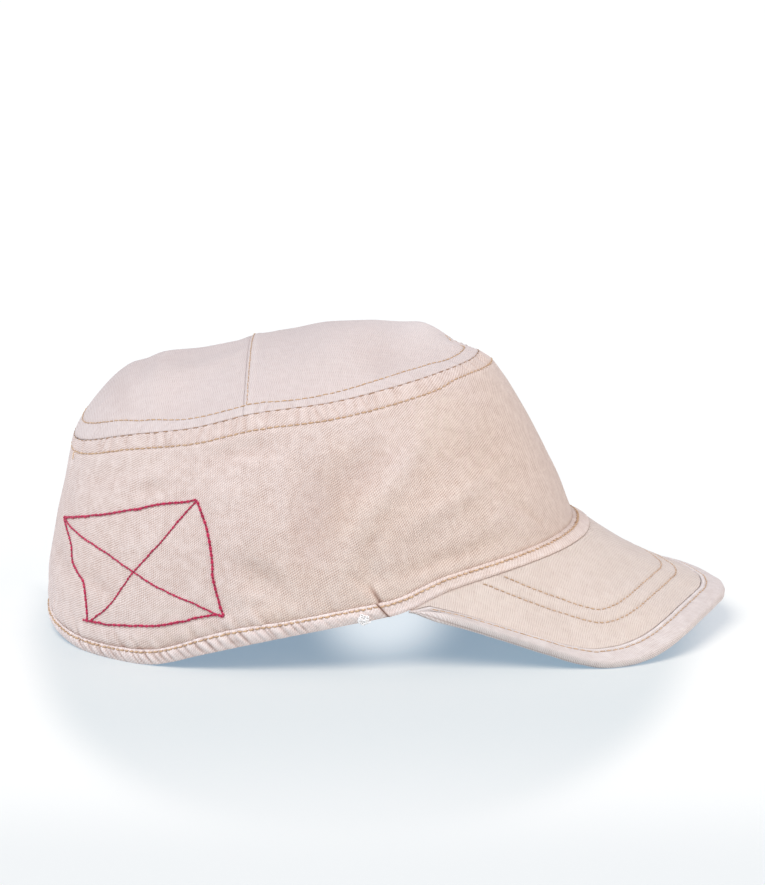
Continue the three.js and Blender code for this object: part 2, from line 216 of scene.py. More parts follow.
class Curve:
    """A smooth curve through two columns of a table, which never overshoots between its rows."""

    def __init__(self, table: Table, source: str, target: str) -> None:
        """Takes the columns and works out the slope at each row.

        Args:
            table: Named columns.
            source: Column that the curve is read by, rising.
            target: Column that the curve gives.
        """
        self.at = np.array(table[source], float)
        self.value = np.array(table[target], float)
        self.width = np.diff(self.at)
        slope = np.diff(self.value) / self.width
        self.tangent = np.zeros_like(self.at)
        self.tangent[0] = slope[0]
        self.tangent[-1] = slope[-1]
        for i in range(1, len(self.at) - 1):
            if slope[i - 1] * slope[i] > 0:
                before = 2 * self.width[i] + self.width[i - 1]
                after = self.width[i] + 2 * self.width[i - 1]
                self.tangent[i] = (before + after) / (before / slope[i - 1] + after / slope[i])

    def __call__(self, x: Array) -> Array:
        """The curve's value at each x, held level past its ends."""
        i = np.clip(np.searchsorted(self.at, x) - 1, 0, len(self.at) - 2)
        t = np.clip((x - self.at[i]) / self.width[i], 0, 1)
        u = 1 - t
        ends = self.value[i] * u * u * (1 + 2 * t) + self.value[i + 1] * t * t * (3 - 2 * t)
        bend = self.width[i] * t * u * (self.tangent[i] * u - self.tangent[i + 1] * t)
        return ends + bend


class SoftNoise:
    """Smooth random values through space, from -1 to 1, with one swing in about two sizes."""

    def __init__(self, seed: int, size: float) -> None:
        """Draws the values.

        Args:
            seed: Seed of the draw.
            size: Distance in millimetres between drawn values.
        """
        self.values = np.random.default_rng(seed).uniform(-1, 1, 4096)
        self.size = size

    def __call__(self, points: Array) -> Array:
        """The value at each point."""
        scaled = points / self.size
        cell = np.floor(scaled).astype(np.int64)
        part = scaled - cell
        part = part * part * (3 - 2 * part)
        total = np.zeros(points.shape[:-1])
        for corner in itertools.product((0, 1), repeat=3):
            place = cell + np.array(corner)
            mixed = place[..., 0] * 73856093 ^ place[..., 1] * 19349663 ^ place[..., 2] * 83492791
            weight = np.where(corner, part, 1 - part).prod(axis=-1)
            total += self.values[mixed & 4095] * weight
        return total


@dataclass(frozen=True)
class Plan:
    """An egg seen from above, with its own length in front of and behind its centre."""

    centre: float
    front: float
    back: float
    half: float
    front_power: float
    back_power: float

    def radius(self, angle: Array) -> Array:
        """Distance from the centre to the outline, in the direction of an angle from +X."""
        c = np.cos(angle)
        s = np.sin(angle)
        power = np.where(c >= 0, self.front_power, self.back_power)
        length = np.where(c >= 0, self.front, self.back)
        reach = (np.abs(c) / length) ** power + (np.abs(s) / self.half) ** power
        return reach ** (-1 / power)

    def point(self, angle: Array) -> tuple[Array, Array]:
        """X and Y of the outline at an angle."""
        radius = self.radius(angle)
        return self.centre + radius * np.cos(angle), radius * np.sin(angle)

    def angle_at(self, x: float) -> float:
        """The angle on the +Y side at which the outline passes x."""
        low, high = 0.0, math.pi
        for _ in range(40):
            middle = (low + high) / 2
            if self.point(np.array(middle))[0] > x:
                low = middle
            else:
                high = middle
        return (low + high) / 2


HEM_PLAN = Plan(-16, 118, 86.5, 80.5, 2.08, 2.3)
BAND_PLAN = Plan(-16, 112.2, 87.4, 80, 2.08, 2.3)
SEAM_PLAN = Plan(-20, 80, 73.5, 61, 2, 2.15)


@dataclass(frozen=True)
class Fold:
    """A soft fold, seen from the side on the wall and from above on the top.

    Attributes:
        x: Middle of the fold.
        other: Height of its middle on the wall, or its Y on the top.
        lean: Lean of its run from the X direction, in degrees.
        run: Half its length.
        width: Half its width.
        out: How far it stands out.
    """

    x: float
    other: float
    lean: float
    run: float
    width: float
    out: float

    def relief(self, x: Array, other: Array) -> Array:
        """How far the fold moves the cloth at each place."""
        lean = math.radians(self.lean)
        along = (x - self.x) * math.cos(lean) + (other - self.other) * math.sin(lean)
        across = (other - self.other) * math.cos(lean) - (x - self.x) * math.sin(lean)
        return self.out * np.exp(-((along / self.run) ** 2) - (across / self.width) ** 2)


WALL_FOLDS = (
    Fold(24, 64, 55, 24, 7, 1.3),
    Fold(15, 74, 58, 17, 6, -1.5),
    Fold(49, 61, 27, 22, 6, 1.2),
    Fold(45, 47, 22, 15, 5, -1.4),
    Fold(-5, 62, 88, 21, 7, -1.2),
    Fold(-20, 32, -35, 9, 5, -1.4),
    Fold(21, 36, 105, 8, 4, -2.2),
)
TOP_FOLDS = (
    Fold(37, 0, 0, 12, 30, 1.2),
    Fold(38, 16, 0, 7.5, 20, 2.8),
    Fold(22, 18, 0, 10, 22, 1.2),
    Fold(50, -2, 0, 7, 8, 1.0),
    Fold(10, -18, 0, 8, 30, 0.6),
    Fold(24, -20, 0, 7, 26, -0.6),
)


@dataclass(frozen=True)
class Crease:
    """A line on the wall, seen from the side, that the cloth rises or sinks along.

    Attributes:
        line: Points (x, z) along it.
        width: Half its width.
        out: How far the cloth stands out on the line.
    """

    line: tuple[tuple[float, float], ...]
    width: float
    out: float

    def relief(self, x: Array, z: Array) -> Array:
        """How far the crease moves the wall at places seen from the side."""
        points = np.array(self.line, float)
        reach = lengths_along(points)
        apart = np.full(np.shape(x), 1e9)
        share = np.zeros(np.shape(x))
        for start, end, before, after in zip(points, points[1:], reach, reach[1:]):
            step = end - start
            t = np.clip(((x - start[0]) * step[0] + (z - start[1]) * step[1]) / (step @ step), 0, 1)
            here = np.hypot(x - start[0] - t * step[0], z - start[1] - t * step[1])
            closer = here < apart
            apart = np.where(closer, here, apart)
            share = np.where(closer, (before + t * (after - before)) / reach[-1], share)
        fade = np.sin(math.pi * np.clip(share, 0.05, 0.95)) ** 0.6
        return self.out * bell(apart, self.width) * fade


# Creases finer than the solids hold, from front to back
CREASES = (
    Crease(((71, 56), (77, 53), (82, 48), (86, 42)), 1.3, -1.1),
    Crease(((71, 69), (60, 64), (47, 58.5), (34, 52.5)), 3.6, 0.85),
    Crease(((26, 34), (40, 37.5), (56, 41), (72, 44.5)), 4.2, -1.3),
    Crease(((86, 62), (78, 76), (70, 86)), 5.0, 0.7),
    Crease(((40, 86), (30, 71), (21, 61), (13.5, 49), (10, 39)), 4.4, 0.75),
    Crease(((27, 84), (18, 72), (12, 61)), 6.0, -1.2),
    Crease(((21, 50.5), (21.5, 46)), 2.6, -0.6),
    Crease(((-12, 82), (-11, 62), (-10, 42)), 2.8, 0.7),
    Crease(((8, 82), (2, 66), (-1, 48), (0, 28)), 9.0, -0.9),
    Crease(((11, 37), (17, 33.5), (24, 26.5)), 1.8, -0.5),
    Crease(((-33, 42), (-18, 37), (-8, 28)), 3.8, -0.75),
    Crease(((-32, 29), (-14, 28)), 3.0, 0.5),
    Crease(((-41, 76), (-25, 82), (-12, 82)), 3.6, -1.0),
    Crease(((-45, 60), (-34, 66), (-24, 67)), 4.0, 0.5),
    Crease(((-70, 62), (-62, 65), (-54, 66.5)), 2.2, -1.0),
    Crease(((-88, 61), (-79, 66), (-70, 69)), 3.4, -1.1),
    Crease(((-65, 19.5), (-64.5, 13)), 0.9, -0.6),
    Crease(((-52, 26), (-46, 33)), 2.6, -0.5),
    Crease(((-88, 30), (-80, 25), (-74, 24)), 2.6, -1.0),
    Crease(((-75, 42), (-66, 46), (-58, 45)), 3.5, 0.5),
    Crease(((-98, 56), (-94, 50)), 2.8, -0.9),
    Crease(((-101, 36), (-97, 29), (-92, 25)), 3.4, -1.0),
)


class CapForm:
    """The surfaces that the solids and the cloth share."""

    def __init__(self) -> None:
        """Reads the tables into curves."""
        self.hem_height = Curve(HEM_HEIGHT, "x", "z")
        self.band_tall = Curve(BAND_TALL, "x", "tall")
        self.seam_height = Curve(SEAM_HEIGHT, "x", "z")
        self.top_rise = Curve(TOP_RISE, "x", "rise")
        self.swell = {part: Curve(WALL_SWELL, "up", part) for part in ("front", "side", "back")}
        edge = np.stack([PEAK_EDGE["x"], PEAK_EDGE["y"], PEAK_EDGE["z"]], axis=1).astype(float)
        reach = lengths_along(edge)
        shares = dict(PEAK_EDGE, share=list(reach / reach[-1]))
        self.edge_of = [Curve(shares, "share", axis) for axis in ("x", "y", "z")]
        self.peak_turn = HEM_PLAN.angle_at(PEAK_EDGE["x"][-1])

    def hem(self, angle: Array) -> Array:
        """Bottom edge of the cap."""
        x, y = HEM_PLAN.point(angle)
        return np.stack([x, y, self.hem_height(x)], axis=-1)

    def hem_out(self, angle: Array) -> Array:
        """Level unit vectors out of the bottom edge."""
        along = self.hem(angle + STEP) - self.hem(angle - STEP)
        return unit(np.stack([along[..., 1], -along[..., 0], np.zeros_like(angle)], axis=-1))

    def band_top(self, angle: Array) -> Array:
        """Top edge of the casing and the band."""
        below = HEM_PLAN.point(angle)[0]
        x, y = BAND_PLAN.point(angle)
        return np.stack([x, y, self.hem_height(below) + self.band_tall(below)], axis=-1)

    def seam_plane(self, x: Array, y: Array) -> Array:
        """Height of the curved plane that holds the seam round the top, which sags at one corner."""
        sag = FAR_CORNER_SAG * smooth(y, -6, 20) * smooth(x, 44, 52)
        return self.seam_height(x) + SEAM_SIDE_LIFT * (y / SEAM_PLAN.half) ** 2 - sag

    def seam(self, angle: Array) -> Array:
        """Seam round the top."""
        x, y = SEAM_PLAN.point(angle)
        return np.stack([x, y, self.seam_plane(x, y)], axis=-1)

    def wall_height(self, angle: Array) -> Array:
        """Length of the wall from the band to the seam."""
        return np.linalg.norm(self.seam(angle) - self.band_top(angle), axis=-1)

    def wall(self, angle: Array, up: Array) -> Array:
        """Outer face of the side wall.

        Args:
            angle: Angle round the crown.
            up: Share of the way from the band to the seam.

        Returns:
            The points.
        """
        low = self.band_top(angle)
        chord = self.seam(angle) - low
        along = self.seam(angle + STEP) - self.seam(angle - STEP)
        out = unit(np.stack([along[..., 1], -along[..., 0], np.zeros_like(angle)], axis=-1))
        rise = unit(chord)
        out = unit(out - rise * dot(out, rise))
        front = np.maximum(0, np.cos(angle)) ** 2
        back = np.maximum(0, -np.cos(angle)) ** 2
        side = 1 - front - back
        swollen = front * self.swell["front"](up)
        swollen = swollen + side * self.swell["side"](up) + back * self.swell["back"](up)
        point = low + chord * up[..., None]
        fade = smooth(up, 0, EDGE_FADE) * smooth(1 - up, 0, EDGE_FADE)
        folds = sum(fold.relief(point[..., 0], point[..., 2]) for fold in WALL_FOLDS)
        return point + out * (swollen + side * fade * folds)[..., None]

    def top(self, x: Array, y: Array) -> Array:
        """Outer face of the top over a place in plan."""
        away = np.hypot(x - SEAM_PLAN.centre, y)
        angle = np.arctan2(y, x - SEAM_PLAN.centre)
        share = np.minimum(1, away / SEAM_PLAN.radius(angle))
        backness = np.maximum(0, -np.cos(angle)) ** 5
        power = SHOULDER_POWER + (BACK_SHOULDER_POWER - SHOULDER_POWER) * backness
        puff = self.top_rise(x) * (1 - share ** power)
        fold = TOP_FOLD_DEEP * bell(x - TOP_FOLD_X, TOP_FOLD_WIDTH) * (1 - share ** 4)
        return np.stack([x, y, self.seam_plane(x, y) + puff - fold], axis=-1)

    def mitre(self, angle: Array) -> Array:
        """Unit vectors out of the seam round the top, halfway between the wall and the top."""
        corner = self.seam(angle)
        wall_out = normal_of(self.wall, angle, np.full_like(angle, 1 - 2 * STEP))
        inward = np.stack([SEAM_PLAN.centre - corner[..., 0], -corner[..., 1]], axis=-1)
        inside = corner[..., :2] + 0.5 * unit(inward)
        return unit(wall_out + normal_of(self.top, inside[..., 0], inside[..., 1]))

    def sewn_out(self, surface: Surface, u: Array, v: Array, angle: Array, away: Array) -> Array:
        """Unit vectors out of a surface, which turn to the corner of the wall and the top at the seam.

        Args:
            surface: The wall or the top.
            u: First places on it.
            v: Second places on it.
            angle: Angle round the crown.
            away: Distance from the seam.

        Returns:
            One unit vector for each place.
        """
        blend = bell(away, 1.6)[..., None]
        return unit(normal_of(surface, u, v) * (1 - blend) + self.mitre(angle) * blend)

    def rim_width(self, width: Array) -> Array:
        """How wide the binding is where the peak has a width."""
        return np.minimum(RIM_WIDE, RIM_SHARE * width)

    def peak_edge(self, side: Array) -> Array:
        """Core line of the peak's edge, from one end (-1) over its tip (0) to the other (1)."""
        share = np.abs(side)
        x, y, z = (curve(share) for curve in self.edge_of)
        return np.stack([x, np.sign(side) * y, z], axis=-1)

    def peak_width(self, side: Array) -> Array:
        """How wide the peak is at a ruling."""
        return np.linalg.norm(self.peak_edge(side) - self.hem(side * self.peak_turn), axis=-1)

    def peak_fullness(self, side: Array) -> Array:
        """How much of its full thickness the peak has at a ruling."""
        return np.clip(self.peak_width(side) / PEAK_FULL_WIDTH, PEAK_THIN, 1)

    def peak(self, side: Array, share: Array) -> Array:
        """Middle surface of the peak: place round it, and share of the way to its edge."""
        start = self.hem(side * self.peak_turn)
        start[..., 2] -= PEAK_HALF * self.peak_fullness(side) + GAP
        point = start + (self.peak_edge(side) - start) * share[..., None]
        flatter = np.sqrt(np.cos(side * math.pi / 2))
        point[..., 2] -= PEAK_SAG * 4 * share * (1 - share) * flatter
        return point

    def peak_out(self, side: Array, share: Array) -> Array:
        """Unit vectors up out of the peak's middle surface."""
        normal = normal_of(self.peak, side, share)
        return normal * np.where(normal[..., 2:] < 0, -1, 1)


class EdgeDistance:
    """How far each place on the peak is from its edge, straight across the cloth."""

    def __init__(self, form: CapForm, sides: int = 181, shares: int = 101) -> None:
        """Measures the distances on a grid.

        Args:
            form: The shared surfaces.
            sides: Places round the peak.
            shares: Places from the band to the edge.
        """
        self.share = np.linspace(0, 1, shares)
        side, share = np.meshgrid(np.linspace(-1, 1, sides), self.share, indexing="ij")
        points = form.peak(side, share)
        edge = form.peak_edge(np.linspace(-1, 1, 400))
        self.table = np.stack([
            np.linalg.norm(column[:, None] - edge[None], axis=2).min(axis=1) for column in points
        ])

    def __call__(self, side: Array, share: Array) -> Array:
        """The distance at places round the peak and shares of the way to its edge."""
        sides, shares = self.table.shape
        i = np.clip((side + 1) / 2 * (sides - 1), 0, sides - 1.001)
        j = np.clip(share * (shares - 1), 0, shares - 1.001)
        a, b = i.astype(int), j.astype(int)
        u, v = i - a, j - b
        before = self.table[a, b] * (1 - v) + self.table[a, b + 1] * v
        after = self.table[a + 1, b] * (1 - v) + self.table[a + 1, b + 1] * v
        return before * (1 - u) + after * u

    def share_at(self, side: Array, away: float) -> Array:
        """The share of the way to the edge at which a line at a distance from it runs."""
        columns = self(side[:, None], self.share[None, :])[:, ::-1]
        rising = np.maximum.accumulate(columns, axis=1)
        return np.array([np.interp(away, column, self.share[::-1]) for column in rising])


@dataclass
class MeshData:
    """Faces of a piece, with their map and tone.

    Attributes:
        points: Points in millimetres.
        faces: Arrays of corner indices, one array for each number of corners.
        corners: The cloth map of those corners, in millimetres.
        tone: For each point, low where painted shade darkens sunk places, seams and gaps, and high where wear
            and painted highlights lighten ridges.
    """

    points: Array
    faces: list[Array]
    corners: list[Array]
    tone: Array


class Pinches:
    """Narrow puckers at uneven distances along a seam."""

    def __init__(self, seed: int, length: float, pitch: float, least: float = 0.12) -> None:
        """Draws the puckers.

        Args:
            seed: Seed of the draw.
            length: Length of the seam.
            pitch: Mean distance from pucker to pucker.
            least: Depth of the shallowest one.
        """
        rng = np.random.default_rng(seed)
        at = np.cumsum(rng.uniform(0.5, 1.5, int(2 * length / pitch)) * pitch)
        self.at = at[at < length]
        self.deep = rng.uniform(least, 1, len(self.at))
        self.lean = rng.uniform(-0.35, 0.35, len(self.at))

    def __call__(self, reach: Array, away: Array, width: float) -> Array:
        """Depth of the puckers, from 0 to 1, at places along the seam and away from it."""
        after = np.searchsorted(self.at, reach)
        found = np.zeros(np.broadcast_shapes(np.shape(reach), np.shape(away)))
        for which in (after - 1, after):
            i = np.clip(which, 0, len(self.at) - 1)
            apart = reach - self.at[i] - self.lean[i] * away
            found = np.maximum(found, self.deep[i] * bell(apart, width))
        return found


def join(parts: list[MeshData]) -> MeshData:
    """Several meshes as one."""
    faces = []
    corners = []
    start = 0
    for part in parts:
        faces += [face + start for face in part.faces]
        corners += part.corners
        start += len(part.points)
    points = np.concatenate([part.points for part in parts])
    tone = np.concatenate([part.tone for part in parts])
    return MeshData(points, faces, corners, tone)


@dataclass
class Grid:
    """Points on one face of a cloth, as columns of rows.

    Attributes:
        points: Points, with shape (columns, rows, 3).
        cloth: Map in millimetres, with shape (columns, rows, 2).
        tone: Tone, with shape (columns, rows).
    """

    points: Array
    cloth: Array
    tone: Array

    def rows(self, picks: list[int] | slice) -> "Grid":
        """Some of its rows, in the order given."""
        return Grid(self.points[:, picks], self.cloth[:, picks], self.tone[:, picks])


def shell(outer: Grid, inner: Grid, turn: float = 0.0) -> MeshData:
    """Closes two faces of a cloth into a body.

    Args:
        outer: The outer face.
        inner: The inner face, with as many columns.
        turn: Length of one turn in millimetres where the columns go round, or 0 where they end.

    Returns:
        The closed mesh.
    """
    back = inner.rows(slice(None, None, -1))
    points, cloth, tone = (
        np.concatenate(pair, axis=1)
        for pair in ((outer.points, back.points), (outer.cloth, back.cloth), (outer.tone, back.tone))
    )
    columns, loop = points.shape[:2]
    if turn:
        cloth = np.concatenate([cloth, cloth[:1] + np.array([turn, 0.0])])
    spans = columns if turn else columns - 1
    i, j = (grid.ravel() for grid in np.meshgrid(np.arange(spans), np.arange(loop), indexing="ij"))
    after = (j + 1) % loop
    following = (i + 1) % columns
    quads = np.stack([i * loop + j, following * loop + j, following * loop + after, i * loop + after])
    maps = np.stack([cloth[i, j], cloth[i + 1, j], cloth[i + 1, after], cloth[i, after]], axis=1)
    faces = [quads.T]
    corners = [maps]
    if not turn:
        rows = outer.points.shape[1]
        for column, flip in ((0, False), (columns - 1, True)):
            triangles = end_cap(points[column], rows, flip)
            faces.append(column * loop + triangles)
            corners.append(cloth[column][triangles])
    return MeshData(points.reshape(-1, 3), faces, corners, tone.ravel())


def end_cap(section: Array, rows: int, flip: bool) -> Array:
    """Triangles that close the end of a shell.

    Args:
        section: Points of the end, round its loop.
        rows: How many of them are on the outer face.
        flip: Whether this is the last end.

    Returns:
        Corner indices into the section.
    """
    last = len(section) - 1
    outer_at = lengths_along(section[:rows])
    inner_at = lengths_along(section[rows:][::-1])
    outer_at = outer_at / outer_at[-1]
    inner_at = inner_at / inner_at[-1]
    triangles = []
    i, j = 0, 0
    while i < rows - 1 or j < last - rows:
        if j >= last - rows or (i < rows - 1 and outer_at[i + 1] <= inner_at[j + 1]):
            triangles.append((i, i + 1, last - j))
            i += 1
        else:
            triangles.append((i, last - j - 1, last - j))
            j += 1
    found = np.array(triangles)
    return found[:, ::-1] if flip else found


def tubes(paths: Array, ups: Array, radii: Array, tone: Array, sides: int = 6) -> MeshData:
    """Round threads along paths.

    Args:
        paths: Points with shape (threads, points, 3).
        ups: Vectors out of the cloth at those points.
        radii: Radius of the thread at those points.
        tone: Tone of the thread at those points.
        sides: Number of sides of a thread.

    Returns:
        The closed threads as one mesh.
    """
    count, long = paths.shape[:2]
    along = unit(np.gradient(paths, axis=1))
    across = unit(np.cross(along, ups))
    up = np.cross(across, along)
    turn = np.arange(sides) * 2 * math.pi / sides
    ring = across[:, :, None] * np.cos(turn)[:, None] + up[:, :, None] * np.sin(turn)[:, None]
    points = paths[:, :, None] + ring * radii[:, :, None, None]
    index = np.arange(count * long * sides).reshape(count, long, sides)
    following = np.roll(index, -1, axis=2)
    quads = np.stack([index[:, :-1], following[:, :-1], following[:, 1:], index[:, 1:]], axis=-1)
    place = np.broadcast_to(lengths_along(paths)[:, :, None], (count, long, sides))
    round_it = np.broadcast_to(turn, (count, long, sides)) * THREAD / 2
    after = round_it + (turn[1] - turn[0]) * THREAD / 2
    start = np.stack([place, round_it], axis=-1)
    end = np.stack([place, after], axis=-1)
    maps = np.stack([start[:, :-1], end[:, :-1], end[:, 1:], start[:, 1:]], axis=-2)
    caps = np.concatenate([index[:, 0, ::-1], index[:, -1]])
    cap_maps = np.concatenate([start[:, 0, ::-1], start[:, -1]])
    faces = [quads.reshape(-1, 4), caps]
    corners = [maps.reshape(-1, 4, 2), cap_maps]
    tones = np.broadcast_to(np.broadcast_to(tone, (count, long))[..., None], (count, long, sides))
    return MeshData(points.reshape(-1, 3), faces, corners, tones.ravel())


def linear(colour: str) -> tuple[float, float, float, float]:
    """An sRGB hex colour as linear RGBA."""
    parts = [int(colour[i:i + 2], 16) / 255 for i in (1, 3, 5)]
    turned = [c / 12.92 if c <= 0.04045 else ((c + 0.055) / 1.055) ** 2.4 for c in parts]
    return (*turned, 1.0)


def add_node(tree: Tree, kind: str, inputs: dict, output: int | str = 0, **settings) -> Socket | None:
    """Adds a node with its settings and links.

    Args:
        tree: Tree that takes the node.
        kind: Name of the kind of node.
        inputs: For each input's name or number, an output to link, a value or a hex colour.
        output: Name or number of the output that is wanted.
        settings: The node's own settings.

    Returns:
        That output, or None where the node has none.
    """
    node = tree.nodes.new(kind)
    for name, value in settings.items():
        setattr(node, name, value)
    for name, value in inputs.items():
        if isinstance(value, Socket):
            tree.links.new(value, node.inputs[name])
        else:
            node.inputs[name].default_value = linear(value) if isinstance(value, str) else value
    return node.outputs[output] if len(node.outputs) else None


def new_material(name: str) -> tuple[bpy.types.Material, Tree]:
    """An empty material, and its tree."""
    made = bpy.data.materials.new(name)
    made.use_nodes = True
    made.node_tree.nodes.clear()
    return made, made.node_tree


@dataclass(frozen=True)
class CottonTwill:
    """Cotton twill, woven and washed soft: matt, with fine slanting ribs and a faint nap.

    Attributes:
        name: Name of the material.
        light: The cloth's main colour, towards the front and bottom, where it paints warmer light.
        rosy: Its rosier colour, in patches and towards the back and top, where it paints cooler light.
        deep: Colour between the ribs, and painted shade in sunk places.
        rubbed: Colour of wear on ridges, and of painted highlights on them.
        seam: Colour of painted shadow at the bottom of seams and creases, in gaps and where pieces meet.
        rib: Distance from rib to rib. The real 0.65 mm is drawn a little coarser so that it shows.
        lean: Lean of the ribs from the length of the cloth, in degrees.
        yarn: Distance between the yarns that cross the ribs.
        depth: Height of the weave, for the bump.
        contrast: How strongly the weave is coloured.
        slub: How strongly thicker and thinner stretches of yarn are coloured.
        slub_long: Length of those stretches.
        slub_wide: Width of those stretches.
        patch: Size of the rosy patches.
        turn_at: Where the cloth turns from rosy to its main colour, in X from the middle of the solids; this
            turn is painted light.
        turn_wide: Distance over which it does so.
        turn_rise: How much each millimetre of height moves that place forward.
    """

    name: str
    light: str
    rosy: str
    deep: str
    rubbed: str
    seam: str = "#71503f"
    rib: float = 0.9
    lean: float = 27.0
    yarn: float = 0.8
    depth: float = 0.09
    contrast: float = 0.72
    slub: float = 0.12
    slub_long: float = 7.0
    slub_wide: float = 0.6
    patch: float = 26.0
    turn_at: float = -10.0
    turn_wide: float = 400.0
    turn_rise: float = 0.0

    def material(self) -> bpy.types.Material:
        """The woven cloth, with ribs, slubs, rosy patches, painted light that turns the cloth rosier towards
        the back and top, painted shade in sunk places and seams, and wear with painted highlights on ridges.
        """
        made, tree = new_material(self.name)
        cloth = add_node(tree, "ShaderNodeUVMap", {}, uv_map=CLOTH_MAP)
        place = add_node(tree, "ShaderNodeTexCoord", {}, "Object")
        fuzz, showing, patches = (
            add_node(tree, "ShaderNodeTexNoise", {
                "Vector": place, "Scale": 1 / (size * MM), "Detail": 2.0, "Roughness": rough,
            })
            for size, rough in ((0.6, 0.6), (3.2, 0.6), (self.patch, 0.5))
        )
        weave = self.weave(tree, cloth, place)
        strength = add_node(tree, "ShaderNodeMapRange", {
            "Value": showing, "From Min": 0.3, "From Max": 0.7,
            "To Min": 0.72 * self.contrast, "To Max": 1.28 * self.contrast,
        })
        between = add_node(tree, "ShaderNodeMapRange", {
            "Value": weave, "From Min": 1.0, "From Max": 0.0, "To Max": strength,
        })
        uneven = add_node(tree, "ShaderNodeMath", {
            0: self.slubs(tree, cloth), 1: fuzz, 2: between,
        }, operation="MULTIPLY_ADD", use_clamp=True)
        # Painted light: cooler and rosier towards the back and top, warmer towards the front and bottom.
        along = add_node(tree, "ShaderNodeVectorMath", {
            0: place, 1: (1.0, 0.0, -self.turn_rise),
        }, "Value", operation="DOT_PRODUCT")
        turned = add_node(tree, "ShaderNodeMapRange", {
            "Value": along, "To Min": 0.5, "To Max": -0.5,
            "From Min": (self.turn_at - self.turn_wide / 2) * MM,
            "From Max": (self.turn_at + self.turn_wide / 2) * MM,
        })
        both = add_node(tree, "ShaderNodeMath", {0: patches, 1: 1.5, 2: turned}, operation="MULTIPLY_ADD")
        rosy_patches_and_painted_light = add_node(tree, "ShaderNodeMapRange", {
            "Value": both, "From Min": 0.25, "From Max": 1.25,
        }, interpolation_type="SMOOTHSTEP")
        # Painted light from the tone: low tone paints shade in sunk places and a darker shadow in seams and
        # gaps, high tone paints highlights on ridges along with their wear.
        tone = add_node(tree, "ShaderNodeAttribute", {}, "Fac", attribute_name=TONE)
        dark, seam, lightening = (
            add_node(tree, "ShaderNodeMapRange", {
                "Value": tone, "From Min": start, "From Max": end, "To Max": most,
            })
            for start, end, most in ((0.5, 0.24, 0.8), (0.26, 0.0, 0.95), (0.5, 1.0, 0.9))
        )
        colour = self.light
        for share, over in ((rosy_patches_and_painted_light, self.rosy), (uneven, self.deep), (dark, self.deep),
                            (seam, self.seam), (lightening, self.rubbed)):
            colour = add_node(tree, "ShaderNodeMix", {
                MIX_SHARE: share, MIX_UNDER: colour, MIX_OVER: over,
            }, MIX_COLOUR, data_type="RGBA")
        relief = add_node(tree, "ShaderNodeMath", {0: fuzz, 1: 0.6, 2: weave}, operation="MULTIPLY_ADD")
        bump = add_node(tree, "ShaderNodeBump", {
            "Strength": 1.0, "Distance": self.depth * MM, "Height": relief,
        })
        shader = add_node(tree, "ShaderNodeBsdfPrincipled", {
            "Base Color": colour, "Normal": bump, "Roughness": 0.92,
            "Specular IOR Level": 0.2, "Sheen Weight": 0.2, "Sheen Roughness": 0.55,
            "Sheen Tint": "#f4f4ff",
        })
        add_node(tree, "ShaderNodeOutputMaterial", {"Surface": shader})
        return made

    def weave(self, tree: Tree, cloth: Socket, place: Socket) -> Socket:
        """Height of the weave.

        Args:
            tree: Tree that takes the nodes.
            cloth: Place on the cloth in millimetres.
            place: Place in space.

        Returns:
            0 between the ribs and 1 on top of them.
        """
        lean = math.radians(self.lean)
        drift = add_node(tree, "ShaderNodeTexNoise", {
            "Vector": place, "Scale": 1 / (8 * MM), "Detail": 4.0, "Roughness": 0.6,
        })
        height = 0.5
        for across, along, drifting, share in (
            (math.sin(lean) / self.rib, -math.cos(lean) / self.rib, 1.6, 0.3),
            (1 / self.yarn, 0.12 / self.yarn, 0.8, 0.2),
        ):
            steps = add_node(tree, "ShaderNodeVectorMath", {
                0: cloth, 1: (across, along, 0.0),
            }, "Value", operation="DOT_PRODUCT")
            turns = add_node(tree, "ShaderNodeMath", {
                0: drift, 1: drifting, 2: steps,
            }, operation="MULTIPLY_ADD")
            angle = add_node(tree, "ShaderNodeMath", {0: turns, 1: 2 * math.pi}, operation="MULTIPLY")
            sine = add_node(tree, "ShaderNodeMath", {0: angle}, operation="SINE")
            height = add_node(tree, "ShaderNodeMath", {
                0: sine, 1: share, 2: height,
            }, operation="MULTIPLY_ADD")
        return height

    def slubs(self, tree: Tree, cloth: Socket) -> Socket:
        """How much darker or lighter thick and thin stretches of yarn are, both ways of the cloth."""
        total = 0.0
        for wide, long in ((self.slub_wide, self.slub_long), (self.slub_long * 0.8, self.slub_wide)):
            stretched = add_node(tree, "ShaderNodeVectorMath", {
                0: cloth, 1: (1 / wide, 1 / long, 1.0),
            }, operation="MULTIPLY")
            noise = add_node(tree, "ShaderNodeTexNoise", {
                "Vector": stretched, "Scale": 1.0, "Detail": 2.0, "Roughness": 0.6,
            })
            share = add_node(tree, "ShaderNodeMapRange", {
                "Value": noise, "From Min": 0.3, "From Max": 0.7, "To Min": self.slub, "To Max": -self.slub,
            })
            total = add_node(tree, "ShaderNodeMath", {0: total, 1: share}, operation="ADD")
        return total


